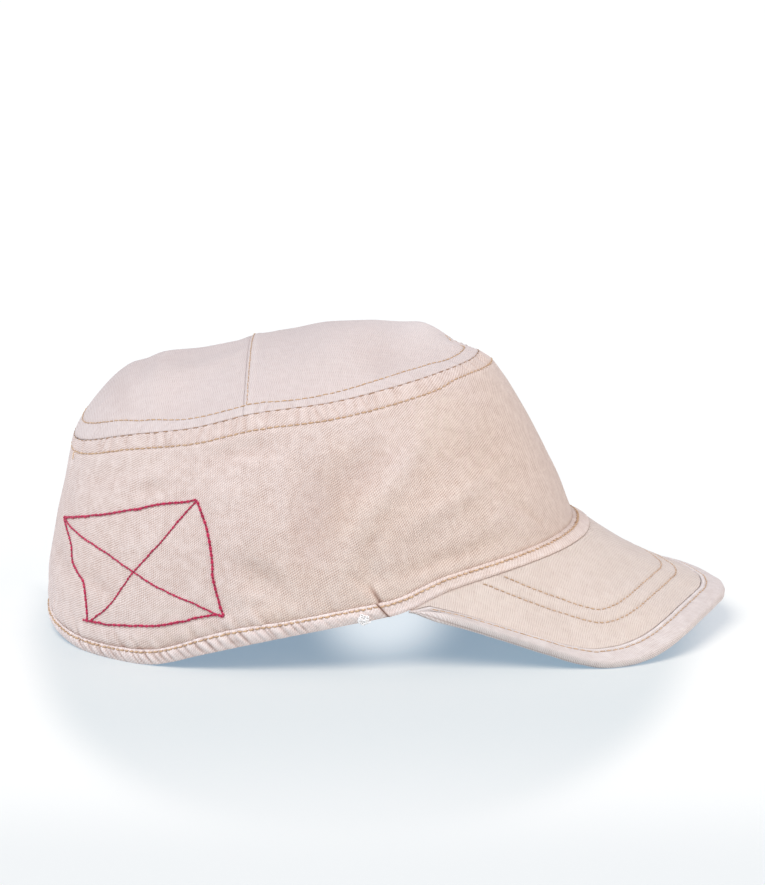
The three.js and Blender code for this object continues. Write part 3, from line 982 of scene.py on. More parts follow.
@dataclass(frozen=True)
class SewingThread:
    """Spun sewing thread: plies laid together, with a soft gleam, and painted shade where it dives in.

    Attributes:
        name: Name of the material.
        light: Colour of the plies.
        deep: Colour between them, painted shade in the grooves.
        hole: Colour of painted shade where the thread dives into the cloth.
        ply: Distance from ply to ply along the thread.
        rough: Roughness.
        sheen: Weight of the fuzz that catches the light.
    """

    name: str
    light: str
    deep: str
    hole: str
    ply: float = 0.6
    rough: float = 0.6
    sheen: float = 0.25

    def material(self) -> bpy.types.Material:
        """The twisted thread."""
        made, tree = new_material(self.name)
        cloth = add_node(tree, "ShaderNodeUVMap", {}, uv_map=CLOTH_MAP)
        place = add_node(tree, "ShaderNodeTexCoord", {}, "Object")
        turns = add_node(tree, "ShaderNodeVectorMath", {
            0: cloth, 1: (2 * math.pi / self.ply, 4 / THREAD, 0.0),
        }, "Value", operation="DOT_PRODUCT")
        sine = add_node(tree, "ShaderNodeMath", {0: turns}, operation="SINE")
        plies = add_node(tree, "ShaderNodeMath", {0: sine, 1: 0.5, 2: 0.5}, operation="MULTIPLY_ADD")
        shade = add_node(tree, "ShaderNodeTexNoise", {
            "Vector": place, "Scale": 1 / (2.2 * MM), "Detail": 3.0, "Roughness": 0.65,
        })
        both = add_node(tree, "ShaderNodeMath", {0: plies, 1: 0.45, 2: shade}, operation="MULTIPLY_ADD")
        lit = add_node(tree, "ShaderNodeMapRange", {"Value": both, "From Min": 0.42, "From Max": 0.82})
        # Painted shade where the thread dives into the cloth, from a low tone.
        tone = add_node(tree, "ShaderNodeAttribute", {}, "Fac", attribute_name=TONE)
        diving = add_node(tree, "ShaderNodeMapRange", {
            "Value": tone, "From Min": 0.5, "From Max": 0.0, "To Max": 1.0,
        })
        colour = self.deep
        for share, over in ((lit, self.light), (diving, self.hole)):
            colour = add_node(tree, "ShaderNodeMix", {
                MIX_SHARE: share, MIX_UNDER: colour, MIX_OVER: over,
            }, MIX_COLOUR, data_type="RGBA")
        bump = add_node(tree, "ShaderNodeBump", {
            "Strength": 0.8, "Distance": 0.06 * MM, "Height": plies,
        })
        shader = add_node(tree, "ShaderNodeBsdfPrincipled", {
            "Base Color": colour, "Normal": bump, "Roughness": self.rough,
            "Specular IOR Level": 0.35, "Sheen Weight": self.sheen, "Sheen Roughness": 0.5,
        })
        add_node(tree, "ShaderNodeOutputMaterial", {"Surface": shader})
        return made


# The ribs climb forward along the wall, and lie across the top
CROWN_TWILL = CottonTwill("cotton_twill_crown", "#ecdbce", "#eedfd8", "#b19384", "#fbf4f1", contrast=0.8,
                          rib=0.82, yarn=0.72, turn_at=-70.0, turn_wide=90.0, turn_rise=1.0)
TOP_TWILL = CottonTwill("cotton_twill_top", "#e1d4ce", "#e0d3ce", "#b2998f", "#f4ece9",
                        rib=0.8, lean=78.0, contrast=0.42, slub=0.09)
HEM_TWILL = CottonTwill("cotton_twill_hem", "#e9d9cf", "#f2e4df", "#ab8a7a", "#fbf5f2", lean=40.0,
                        contrast=0.48, turn_at=0.0, turn_wide=60.0)
PEAK_TWILL = CottonTwill("cotton_twill_peak", "#e1d4c9", "#dfd2c9", "#ab9284", "#f4ebe6",
                         rib=0.78, lean=74.0, contrast=0.42, slub=0.09)
BINDING_TWILL = CottonTwill("cotton_twill_binding", "#e6ddd8", "#e2dad5", "#ab948b", "#f8f2f0",
                            rib=0.8, lean=58.0, contrast=0.6)
TAN_THREAD = SewingThread("spun_thread_tan", "#e2c39f", "#c49b70", "#8e6448")
BROWN_THREAD = SewingThread("spun_thread_brown", "#bf9b7e", "#96725a", "#7d5c48")
CRIMSON_THREAD = SewingThread("embroidery_thread_crimson", "#e02f62", "#8e0f3a", "#560a22", rough=0.5)
WHITE_THREAD = SewingThread("spun_thread_white", "#fffefd", "#efebe8", "#a89b94")


def add_object(name: str, data: bpy.types.ID) -> bpy.types.Object:
    """Puts a new object in the scene."""
    thing = bpy.data.objects.new(name, data)
    bpy.context.scene.collection.objects.link(thing)
    return thing


def look_back(thing: bpy.types.Object, towards: Vector) -> None:
    """Turns an object to look straight away from a direction."""
    thing.rotation_mode = "QUATERNION"
    thing.rotation_quaternion = (-towards).to_track_quat("-Z", "Y")


class Dresser:
    """Turns mesh data into pieces on the frame."""

    def __init__(self) -> None:
        """Finds where the cap's own frame lies among the solids."""
        seam = (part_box("top_panel_back")[1].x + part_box("top_panel_front")[0].x) / 2
        self.shift = np.array([seam - TOP_SEAM_X * MM, 0.0, 0.0])
        self.made: dict[str, bpy.types.Material] = {}

    def material(self, finish: CottonTwill | SewingThread) -> bpy.types.Material:
        """The material of a finish, made once."""
        if finish.name not in self.made:
            self.made[finish.name] = finish.material()
        return self.made[finish.name]

    def piece(self, name: str, data: MeshData, finish: CottonTwill | SewingThread,
              replaces: str = "", merge: float = 0.0) -> bpy.types.Object:
        """Makes a piece that rides on the cap.

        Args:
            name: Name of the piece.
            data: Its faces.
            finish: Its finish.
            replaces: Node that it stands for, if any.
            merge: Distance in millimetres within which points become one.

        Returns:
            The object.
        """
        mesh = bpy.data.meshes.new(name)
        faces = [corner for face in data.faces for corner in face.tolist()]
        mesh.from_pydata((data.points * MM + self.shift).tolist(), [], faces)
        flat = np.concatenate([corner.reshape(-1, 2) for corner in data.corners])
        layer = mesh.uv_layers.new(name=CLOTH_MAP)
        layer.uv.foreach_set("vector", flat.astype(np.float32).ravel())
        tone = mesh.attributes.new(TONE, "FLOAT", "POINT")
        tone.data.foreach_set("value", data.tone.astype(np.float32))
        mesh.polygons.foreach_set("use_smooth", np.ones(len(mesh.polygons), bool))
        mesh.materials.append(self.material(finish))
        mesh.update()
        if merge:
            merge_points(mesh, merge * MM)
        thing = add_object(name, mesh)
        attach(thing, "root")
        if replaces:
            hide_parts(replaces)
        log.info("%s: %d faces", name, len(mesh.polygons))
        return thing


def merge_points(mesh: bpy.types.Mesh, distance: float) -> None:
    """Makes points that lie together into one."""
    work = bmesh.new()
    work.from_mesh(mesh)
    bmesh.ops.remove_doubles(work, verts=work.verts, dist=distance)
    work.to_mesh(mesh)
    work.free()


def stations(ends: tuple[Array, Array], length: Array, between: int) -> Array:
    """Shares of the way along each column, dense at both ends.

    Args:
        ends: Distances in millimetres from the start and from the end.
        length: Length of each column.
        between: Number of rows between the dense ends.

    Returns:
        Shares with shape (columns, rows).
    """
    low = ends[0][None, :] / length[:, None]
    high = 1 - ends[1][None, ::-1] / length[:, None]
    share = np.linspace(0, 1, between + 2)[1:-1]
    middle = low[:, -1:] + (high[:, :1] - low[:, -1:]) * share[None, :]
    return np.concatenate([low, middle, high], axis=1)


def beside_seam(away: Array, row: Array, reach: Array, broken: Array) -> tuple[Array, Array, Array]:
    """What both sides of the seam round the top have in common.

    Args:
        away: Distance from the seam.
        row: Distance at which the row of stitches runs.
        reach: Distance round the crown.
        broken: Noise that breaks up the seam's dark line.

    Returns:
        The raised strip over the seam allowance, the row, and the dark line.
    """
    strip = smooth(away, 0.2, 1.2) * (1 - smooth(away, row - 0.6, row + 0.8))
    dashes = 0.5 + 0.5 * np.sin(2 * math.pi * reach / SEAM_DASH + 2 * broken)
    return strip, bell(away - row, 0.62), (0.02 + 0.12 * dashes + 0.06 * broken) * bell(away, 0.34)


@dataclass
class SideWall:
    """The wall round the crown: one strip of twill with a topstitched seam at its top.

    Attributes:
        form: The shared surfaces.
        columns: Columns of the mesh.
        seam_deep: How far the cloth rolls in at the seam.
        strip_thick: How far the seam allowance lifts the cloth between the seam and its row.
        pucker: Depth of the puckers along the seam.
        gather: Height of the gathers over the casing.
        cloth_round: Length of the cloth map round the crown.
    """

    form: CapForm
    columns: int = 940
    seam_deep: float = 0.12
    strip_thick: float = 0.2
    pucker: float = 0.55
    gather: float = 0.5
    cloth_round: float = 500.0
    row: Curve = field(init=False)
    box_lines: Array = field(init=False)

    def __post_init__(self) -> None:
        """Reads the row's table and draws the noise."""
        self.row = Curve(WALL_ROW, "x", "away")
        self.box_lines = np.zeros((0, 3))
        self.broad = SoftNoise(11, 26.0)
        self.middle = SoftNoise(12, 11.0)
        self.fine = SoftNoise(13, 4.0)
        self.broken = SoftNoise(14, 2.2)
        self.gathers = SoftNoise(15, 3.4)
        self.turns = np.linspace(0, 2 * math.pi, 2001)
        row_line = self.form.wall(self.turns, self.row_share(self.turns))
        self.row_reach = lengths_along(row_line)
        self.row_pitch = self.row_reach[-1] / round(self.row_reach[-1] / STITCH_PITCH)
        self.pinches = Pinches(16, self.row_reach[-1], 3.1)
        self.pleats = Pinches(17, self.row_reach[-1], 6.0)

    def row_share(self, angle: Array) -> Array:
        """Where the topstitched row runs, as a share of the way up the wall."""
        x = SEAM_PLAN.point(angle)[0]
        return 1 - self.row(x) / self.form.wall_height(angle)

    def seam_relief(self, angle: Array, from_seam: Array, reach: Array) -> tuple[Array, Array]:
        """The seam round the top, its allowance and puckers, and the row that holds it.

        Args:
            angle: Angle round the crown.
            from_seam: Distance below the seam.
            reach: Distance round the row.

        Returns:
            How far the cloth stands out, and the change of its tone.
        """
        row = self.row(SEAM_PLAN.point(angle)[0])
        strip, stitched, dark = beside_seam(from_seam, row, reach, self.broken(self.form.seam(angle)))
        reaching = 1 - smooth(from_seam, row - 0.6, row + 1.8)
        pinch = self.pinches(reach, from_seam, 0.85) * reaching * smooth(from_seam, 0.1, 0.8)
        hole = stitched * (0.5 + 0.5 * np.cos(2 * math.pi * reach / self.row_pitch))
        out = self.strip_thick * strip - self.seam_deep * bell(from_seam, 0.5) - self.pucker * pinch
        out = out - 0.18 * stitched - 0.1 * hole
        # Painted shade darkens the puckers and the stitch holes; the seam line is darker, and the cloth is
        # lighter within about 34 mm of the seam.
        lightening = 0.045 * (1 - smooth(from_seam, 8, 34))
        tone = lightening - dark - 0.1 * pinch - 0.06 * hole
        return out, tone

    def gather_relief(self, base: Array, from_band: Array, reach: Array) -> tuple[Array, Array]:
        """Gathers that rise from the elastic casing, and the dip over it.

        Args:
            base: The plain surface.
            from_band: Distance above the casing or the band.
            reach: Distance round the wall.

        Returns:
            How far the cloth stands out, and the change of its tone.
        """
        x, y, z = base[..., 0], base[..., 1], base[..., 2]
        drawn = 0.35 * smooth(-x, -23, -16) + 0.65 * smooth(-x, -10, 45)
        fade = np.exp(-((from_band / 8.0) ** 1.3))
        wave = self.gathers(np.stack([x + 0.7 * from_band, y, z * 0.15], axis=-1))
        lean = from_band * -0.6 * np.clip(y / 25, -1, 1)
        pleat = self.pleats(reach + lean, from_band * 0, 0.9) * np.exp(-from_band / 6)
        behind = smooth(-x, 40, 75)
        dip = bell(from_band, 0.9) * (0.4 + 0.6 * behind)
        out = drawn * (self.gather * wave * fade - 0.75 * pleat + 0.4 * bell(from_band - 3.4, 2.6))
        # Painted shadow: a dark line in the dip over the casing, painted shade in the pleats and painted
        # highlight on the gathers' crests; the cloth is lighter within about 30 mm of the band.
        lightening = 0.05 * (1 - smooth(from_band, 6, 30))
        return out - 0.6 * dip, lightening + drawn * (0.1 * wave * fade - 0.16 * pleat) - 0.22 * dip

    def washed_relief(self, angle: Array, base: Array, held: Array) -> tuple[Array, Array]:
        """Soft waves, creases, the ridge down the back and the pull of the crimson stitching.

        Args:
            angle: Angle round the crown.
            base: The plain surface.
            held: 0 where seams hold the cloth flat, 1 where it is free.

        Returns:
            How far the cloth stands out, and the change of its tone.
        """
        x, y, z = base[..., 0], base[..., 1], base[..., 2]
        waves = 0.5 * self.broad(base) + 0.14 * self.middle(base) + 0.04 * self.fine(base)
        shifted = x + np.where(y > 0, FAR_CREASES_MOVED, 0.0)
        creased = sum(crease.relief(shifted, z) for crease in CREASES) * np.abs(np.sin(angle)) ** 0.5
        notch = bell(x - (24.9 - (z - 24.6) * 0.62), 0.85) * (1 - smooth(z, 28.0, 34.0))
        ridge = bell(np.abs(y) - BACK_RIDGE_AT, 1.5) * (x < -60) * smooth(z, 48, 62)
        pull = self.box_pull(base)
        out = held * (waves + creased) - 1.0 * notch + 0.5 * ridge - 0.22 * pull
        # Painted light that follows the relief, along with wash wear: sunk creases and waves darker, raised
        # ones and the back ridge lighter; painted shade in the notch.
        tone = held * (0.07 * creased + 0.04 * waves) - 0.42 * notch + 0.07 * ridge
        return out, tone

    def box_pull(self, base: Array) -> Array:
        """How strongly the crimson stitching pulls the cloth in, 1 on its lines."""
        pull = np.zeros(base.shape[:-1])
        near = (base[..., 0] < -20) & (base[..., 1] < 0)
        if len(self.box_lines) and near.any():
            picked = base[near]
            closest = np.full(len(picked), 99.0)
            for some in np.array_split(self.box_lines, max(1, len(self.box_lines) // 60)):
                apart = np.linalg.norm(picked[:, None] - some[None], axis=2)
                closest = np.minimum(closest, apart.min(axis=1))
            pull[near] = bell(closest, 1.3)
        return pull

    def face(self, angle: Array, up: Array) -> tuple[Array, Array]:
        """Outer face of the sewn wall.

        Args:
            angle: Angle round the crown.
            up: Share of the way up.

        Returns:
            Points, and their tone.
        """
        base = self.form.wall(angle, up)
        height = self.form.wall_height(angle)
        from_seam = (1 - up) * height
        from_band = up * height
        reach = np.interp(np.mod(angle, 2 * math.pi), self.turns, self.row_reach)
        held = smooth(from_seam, 4, 12) * smooth(from_band, 0.8, 7)
        parts = (
            self.seam_relief(angle, from_seam, reach),
            self.gather_relief(base, from_band, reach),
            self.washed_relief(angle, base, held),
        )
        out = sum(part[0] for part in parts)
        tone = 0.5 + sum(part[1] for part in parts)
        direction = self.form.sewn_out(self.form.wall, angle, up, angle, from_seam)
        return base + direction * out[..., None], np.clip(tone, 0, 1)

    def build(self) -> MeshData:
        """The whole wall."""
        angle = np.linspace(0, 2 * math.pi, self.columns, endpoint=False)
        height = self.form.wall_height(angle)
        low = np.array([0.05, 0.4, 0.8, 1.3, 1.8, 2.4, 3.1, 3.9, 4.8, 5.8, 6.9, 8.1])
        high = np.concatenate([[0.1], np.arange(0.4, 7.9, 0.4), [8.4, 9.2, 10.1, 11.2]])
        up = stations((low, high), height, 46)
        turned = np.broadcast_to(angle[:, None], up.shape)
        points, tone = self.face(turned, up)
        arc = np.interp(angle, self.turns, self.row_reach) * self.cloth_round / self.row_reach[-1]
        cloth = np.stack([np.broadcast_to(arc[:, None], up.shape), up * height[:, None]], axis=-1)
        outer = Grid(points, cloth, tone)
        picks = [0, 5, 12, 22, 34, 46, 58, 68, 76, up.shape[1] - 1]
        inner_up, inner_turn = up[:, picks], turned[:, picks]
        inside = self.form.wall(inner_turn, inner_up)
        inside = inside - CLOTH * normal_of(self.form.wall, inner_turn, inner_up)
        mitre = self.form.mitre(angle)
        inside[:, -1] = points[:, -1] - 0.75 * mitre
        inner = Grid(inside, cloth[:, picks], np.full(inner_up.shape, 0.4))
        return shell(outer, inner, turn=self.cloth_round)

    def locate(self, points: Array) -> tuple[Array, Array]:
        """The angle and share of the way up of points near the wall."""
        angle = np.arctan2(points[:, 1], points[:, 0] - BAND_PLAN.centre)
        low = self.form.band_top(angle)[:, 2]
        high = self.form.seam(angle)[:, 2]
        up = (points[:, 2] - low) / (high - low)
        for _ in range(12):
            here = self.form.wall(angle, up)
            turned = (self.form.wall(angle + STEP, up) - here) / STEP
            raised = (self.form.wall(angle, up + STEP) - here) / STEP
            miss = points - here
            a, b, c = (dot(*pair)[:, 0] for pair in ((turned, turned), (turned, raised), (raised, raised)))
            p, q = dot(turned, miss)[:, 0], dot(raised, miss)[:, 0]
            scale = a * c - b * b
            angle = angle + (c * p - b * q) / scale
            up = np.clip(up + (a * q - b * p) / scale, 0.001, 0.999)
        return angle, up


class Panel(Enum):
    """The two panels of the top."""

    BACK = "top_panel_back"
    FRONT = "top_panel_front"


@dataclass
class TopPanel:
    """One of the two panels of the top, sewn to the wall and to the other panel.

    Attributes:
        form: The shared surfaces.
        panel: Which of the two it is.
        rays: Columns of the mesh, from the middle of the seam across the crown.
        seam_deep: How far the cloth rolls in at the seam.
        strip_thick: How far the seam allowance lifts the cloth.
        pucker: Depth of the puckers along the seam.
        slope: Distance over the cloth for each millimetre in plan, beside the seam.
    """

    form: CapForm
    panel: Panel
    rays: int = 440
    seam_deep: float = 0.12
    strip_thick: float = 0.2
    pucker: float = 0.3
    slope: float = 1.22

    def __post_init__(self) -> None:
        """Reads the row's table and draws the noise."""
        self.row = Curve(TOP_ROW, "x", "away")
        self.broad = SoftNoise(21, 30.0)
        self.middle = SoftNoise(22, 12.0)
        self.fine = SoftNoise(23, 4.0)
        self.broken = SoftNoise(14, 2.2)
        self.turns = np.linspace(0, 2 * math.pi, 2001)
        self.reach = lengths_along(self.form.seam(self.turns))
        self.pinches = Pinches(26, self.reach[-1], 3.6)
        ahead = 1 if self.panel is Panel.FRONT else -1
        self.pole = TOP_SEAM_X + ahead * 0.03
        self.turn = SEAM_PLAN.angle_at(self.pole)

    def rim_relief(self, angle: Array, from_rim: Array) -> tuple[Array, Array]:
        """The seam round the top, its allowance and puckers, and the row that holds it.

        Args:
            angle: Angle round the crown.
            from_rim: Distance from the seam over the cloth.

        Returns:
            How far the cloth stands out, and the change of its tone.
        """
        ring = self.form.seam(angle)
        row = self.row(ring[..., 0])
        reach = np.interp(np.mod(angle, 2 * math.pi), self.turns, self.reach)
        strip, stitched, dark = beside_seam(from_rim, row, reach, self.broken(ring))
        reaching = 1 - smooth(from_rim, row * 0.5, row + 1.5)
        pinch = self.pinches(reach, from_rim, 0.85) * reaching * smooth(from_rim, 0.1, 0.8)
        out = self.strip_thick * strip - self.seam_deep * bell(from_rim, 0.5)
        out = out - self.pucker * pinch - 0.22 * stitched
        # Painted highlight on the raised strip, painted shade in the puckers and the row, and a darker seam
        # line.
        return out, 0.04 * strip - dark - 0.09 * pinch - 0.02 * stitched

    def cross_relief(self, past: Array, inside_row: Array) -> tuple[Array, Array]:
        """The seam between the two panels, pressed forward and sewn down.

        Args:
            past: Distance in front of the seam.
            inside_row: 0 on the strip along the rim, 1 inside it.

        Returns:
            How far the cloth stands out, and the change of its tone.
        """
        pressed = smooth(past, 0.1, 0.9) * (1 - smooth(past, 2.6, 4.2)) * (0.35 + 0.65 * inside_row)
        stitched = bell(past - TOP_SEAM_ROW, 0.5) * inside_row
        line = bell(past, 0.35) * (0.3 + 0.7 * inside_row)
        out = 0.26 * pressed - 0.08 * line - 0.1 * stitched
        # Painted highlight on the pressed strip, and painted shade along the seam line and the row.
        return out, 0.06 * pressed - 0.05 * line - 0.02 * stitched

    def washed_relief(self, base: Array) -> Array:
        """Soft waves over the top, which slope from front to back."""
        x, y = base[..., 0], base[..., 1]
        waves = 0.5 * self.broad(base) + 0.12 * self.middle(base) + 0.03 * self.fine(base)
        behind = -0.9 * np.exp(-(((x + 79 + 0.2 * y) / 3.6) ** 2) - ((y + 20) / 20) ** 2)
        flank = 0.5 * bell(np.abs(y) - BACK_RIDGE_AT, 1.8) * smooth(-x, 74, 86)
        return waves + sum(fold.relief(x, y) for fold in TOP_FOLDS) + behind + flank

    def face(self, x: Array, y: Array) -> tuple[Array, Array]:
        """Outer face of the sewn panel over places in plan, and its tone."""
        base = self.form.top(x, y)
        angle = np.arctan2(y, x - SEAM_PLAN.centre)
        from_rim = (SEAM_PLAN.radius(angle) - np.hypot(x - SEAM_PLAN.centre, y)) * self.slope
        from_rim = np.maximum(0, from_rim)
        row = self.row(self.form.seam(angle)[..., 0])
        past = x - TOP_SEAM_X
        rim_out, rim_tone = self.rim_relief(angle, from_rim)
        cross_out, cross_tone = self.cross_relief(past, smooth(from_rim, row - 0.6, row + 0.6))
        held = smooth(from_rim, 4, 13) * smooth(np.abs(past - 1.5), 1, 7)
        washed = held * self.washed_relief(base)
        # Painted light that follows the relief, along with wash wear: lighter where the waves and folds rise,
        # darker where they sink.
        tone = np.clip(0.5 + rim_tone + cross_tone + 0.05 * washed, 0, 1)
        direction = self.form.sewn_out(self.form.top, x, y, angle, from_rim)
        return base + direction * (rim_out + cross_out + washed)[..., None], tone

    def build(self) -> MeshData:
        """The whole panel."""
        if self.panel is Panel.FRONT:
            angle = np.linspace(-self.turn, self.turn, self.rays)
        else:
            angle = np.linspace(self.turn, 2 * math.pi - self.turn, self.rays)
        rim = self.form.seam(angle)
        reach = np.hypot(rim[:, 0] - self.pole, rim[:, 1])
        near_rim = np.concatenate([[0.08], np.arange(0.33, 9.4, 0.36), [10.0, 10.8, 11.8]])
        near_pole = np.array([0.0, 0.3, 0.7, 1.1, 1.6, 2.1, 2.7, 3.4, 4.2, 5.2, 6.4])
        share = 1 - stations((near_rim, near_pole), reach, 28)
        x = self.pole + (rim[:, 0:1] - self.pole) * share
        y = rim[:, 1:2] * share
        points, tone = self.face(x, y)
        points[0, :, 0] = self.pole
        points[-1, :, 0] = self.pole
        points[:, -1] = points[0, -1]
        outer = Grid(points, np.stack([x, y], axis=-1), tone)
        picks = [0, 8, 16, 24, 32, 40, 48, 56, x.shape[1] - 1]
        in_x, in_y = x[:, picks], y[:, picks]
        inside = self.form.top(in_x, in_y) - CLOTH * normal_of(self.form.top, in_x, in_y)
        mitre = self.form.mitre(angle)
        inside[:, 0] = points[:, 0] - 0.75 * mitre
        inside[0, :, 0] = self.pole
        inside[-1, :, 0] = self.pole
        inside[:, -1] = inside[0, -1]
        inside[:, -1, 1] = 0.0
        inner = Grid(inside, np.stack([in_x, in_y], axis=-1), np.full(in_x.shape, 0.4))
        return shell(outer, inner)


@dataclass
class EdgeStrip:
    """A strip along the bottom edge, with its own section.

    Attributes:
        form: The shared surfaces.
        section: Section of the solid.
        start: Angle at which it starts.
        end: Angle at which it ends.
        columns: Columns of the mesh.
        row_up: Where its row of stitches runs, as a share of its height.
        pitch: Distance from stitch to stitch.
        rows: Rows of the mesh on its outer face.
        slant: How far its slanting ends lean, from the bottom to the top.
    """

    form: CapForm
    section: Table
    start: float
    end: float
    columns: int
    row_up: float
    pitch: float = 2.35
    rows: int = 19
    slant: float = 3.8

    def __post_init__(self) -> None:
        """Reads the section and draws the noise."""
        self.outer_of = Curve(self.section, "up", "outer")
        self.inner_of = Curve(self.section, "up", "inner")
        self.broken = SoftNoise(31, 1.6)
        self.sway = SoftNoise(32, 9.0)
        self.turns = np.linspace(self.start, self.end, 2001)
        self.reach = lengths_along(self.place(self.turns, np.full(2001, self.row_up), np.zeros(2001)))
        self.row_pitch = self.reach[-1] / round(self.reach[-1] / self.pitch)
        self.pleats = Pinches(33, self.reach[-1], 3.3, 0.45)

    def place(self, angle: Array, up: Array, away: Array) -> Array:
        """A point in the section: share of the way up, and how far out of the cloth's line."""
        side = np.where(np.mod(angle, 2 * math.pi) > math.pi, 1, -1)
        from_end = np.minimum(angle - self.start, self.end - angle) * HEM_RADIUS
        leaning = side * (0.5 - up) * self.slant / HEM_RADIUS * np.exp(-np.maximum(from_end, 0) / 9)
        angle = angle + leaning
        low = self.form.hem(angle)
        point = low + (self.form.band_top(angle) - low) * up[..., None]
        return point + self.form.hem_out(angle) * away[..., None]

    def relief(self, angle: Array, up: Array) -> tuple[Array, Array]:
        """What gathers and sewing add to the strip, and the change of its tone."""
        raise NotImplementedError

    def sewn(self, angle: Array, up: Array) -> tuple[Array, Array]:
        """The groove of its row of stitches with their holes, and the change of its tone."""
        tall = self.form.band_tall(HEM_PLAN.point(angle)[0])
        arc = np.interp(angle, self.turns, self.reach)
        groove = bell((up - self.row_up) * tall, 0.5)
        hole = groove * (0.5 + 0.5 * np.cos(2 * math.pi * arc / self.row_pitch))
        crumple = self.broken(self.place(angle, up, 0 * up))
        ends = np.exp(-np.maximum(np.minimum(arc, self.reach[-1] - arc), 0) / 0.5)
        # Painted shade in the stitch holes and at both ends, where the strip meets the other at the notch;
        # painted highlight on the crumples' crests.
        return -0.16 * groove - 0.2 * hole + 0.09 * crumple, -0.18 * hole + 0.06 * crumple - 0.6 * ends

    def face(self, angle: Array, up: Array) -> tuple[Array, Array]:
        """Outer face of the strip, and its tone."""
        out, tone = self.relief(angle, up)
        sewn_out, sewn_tone = self.sewn(angle, up)
        point = self.place(angle, up, self.outer_of(up) + out + sewn_out)
        return point, np.clip(0.5 + tone + sewn_tone, 0, 1)

    def build(self) -> MeshData:
        """The whole strip."""
        angle = np.linspace(self.start, self.end, self.columns)
        share = 0.5 - 0.5 * np.cos(math.pi * np.linspace(0, 1, self.rows))
        up = np.broadcast_to(share, (self.columns, self.rows))
        turned = np.broadcast_to(angle[:, None], up.shape)
        points, tone = self.face(turned, up)
        points[..., 2] = np.maximum(points[..., 2], 0)
        arc = np.broadcast_to(np.interp(angle, self.turns, self.reach)[:, None], up.shape)
        tall = self.form.band_tall(HEM_PLAN.point(turned)[0])
        outer = Grid(points, np.stack([arc, up * tall], axis=-1), tone)
        picks = [0, 5, 9, 13, self.rows - 1]
        inner_up, inner_turn = up[:, picks], turned[:, picks]
        inside = self.place(inner_turn, inner_up, self.inner_of(inner_up))
        inner_cloth = np.stack([arc[:, picks] + 3, (inner_up * tall[:, picks])], axis=-1)
        inner = Grid(inside, inner_cloth, np.full(inner_up.shape, 0.35))
        return shell(outer, inner)


class HemCasing(EdgeStrip):
    """The gathered casing with elastic in it, round the back from notch to notch."""

    def relief(self, angle: Array, up: Array) -> tuple[Array, Array]:
        """Slanting pleats under the row of stitches, and the change of the tone."""
        low = self.form.hem(angle)
        x, y = low[..., 0], low[..., 1]
        tall = self.form.band_tall(x)
        arc = np.interp(angle, self.turns, self.reach)
        sheared = arc - np.clip(y / 25, -1, 1) * 0.8 * up * tall + 0.8 * self.sway(low)
        pleat = self.pleats(sheared, 0 * up, 0.78)
        fine = self.pleats(np.mod(sheared * 1.7 + 40, self.reach[-1]), 0 * up, 0.7)
        amount = 0.35 + 0.65 * smooth(-x, -10, 14)
        shape = np.sin(math.pi * np.clip(up, 0.03, 0.97)) ** 0.5
        out = shape * (0.58 - amount * (1.05 * pleat + 0.4 * fine))
        # The casing is lighter overall, with painted shade in its pleats, and darker along its bottom edge.
        tone = 0.14 - amount * shape * (0.36 * pleat + 0.12 * fine) - 0.12 * (1 - smooth(up, 0, 0.16))
        return out, tone


class FrontBand(EdgeStrip):
    """The folded band over the peak, from notch to notch."""

    def relief(self, angle: Array, up: Array) -> tuple[Array, Array]:
        """A flat fold that leans out over the peak, and the change of the tone."""
        low = self.form.hem(angle)
        flat = smooth(up, 0, 0.22) * (1 - smooth(up, 0.9, 1.0))
        out = 0.36 * flat + 0.12 * self.sway(low) + 0.6 * (1 - smooth(up, 0, 0.4))
        return out, 0.04 * flat


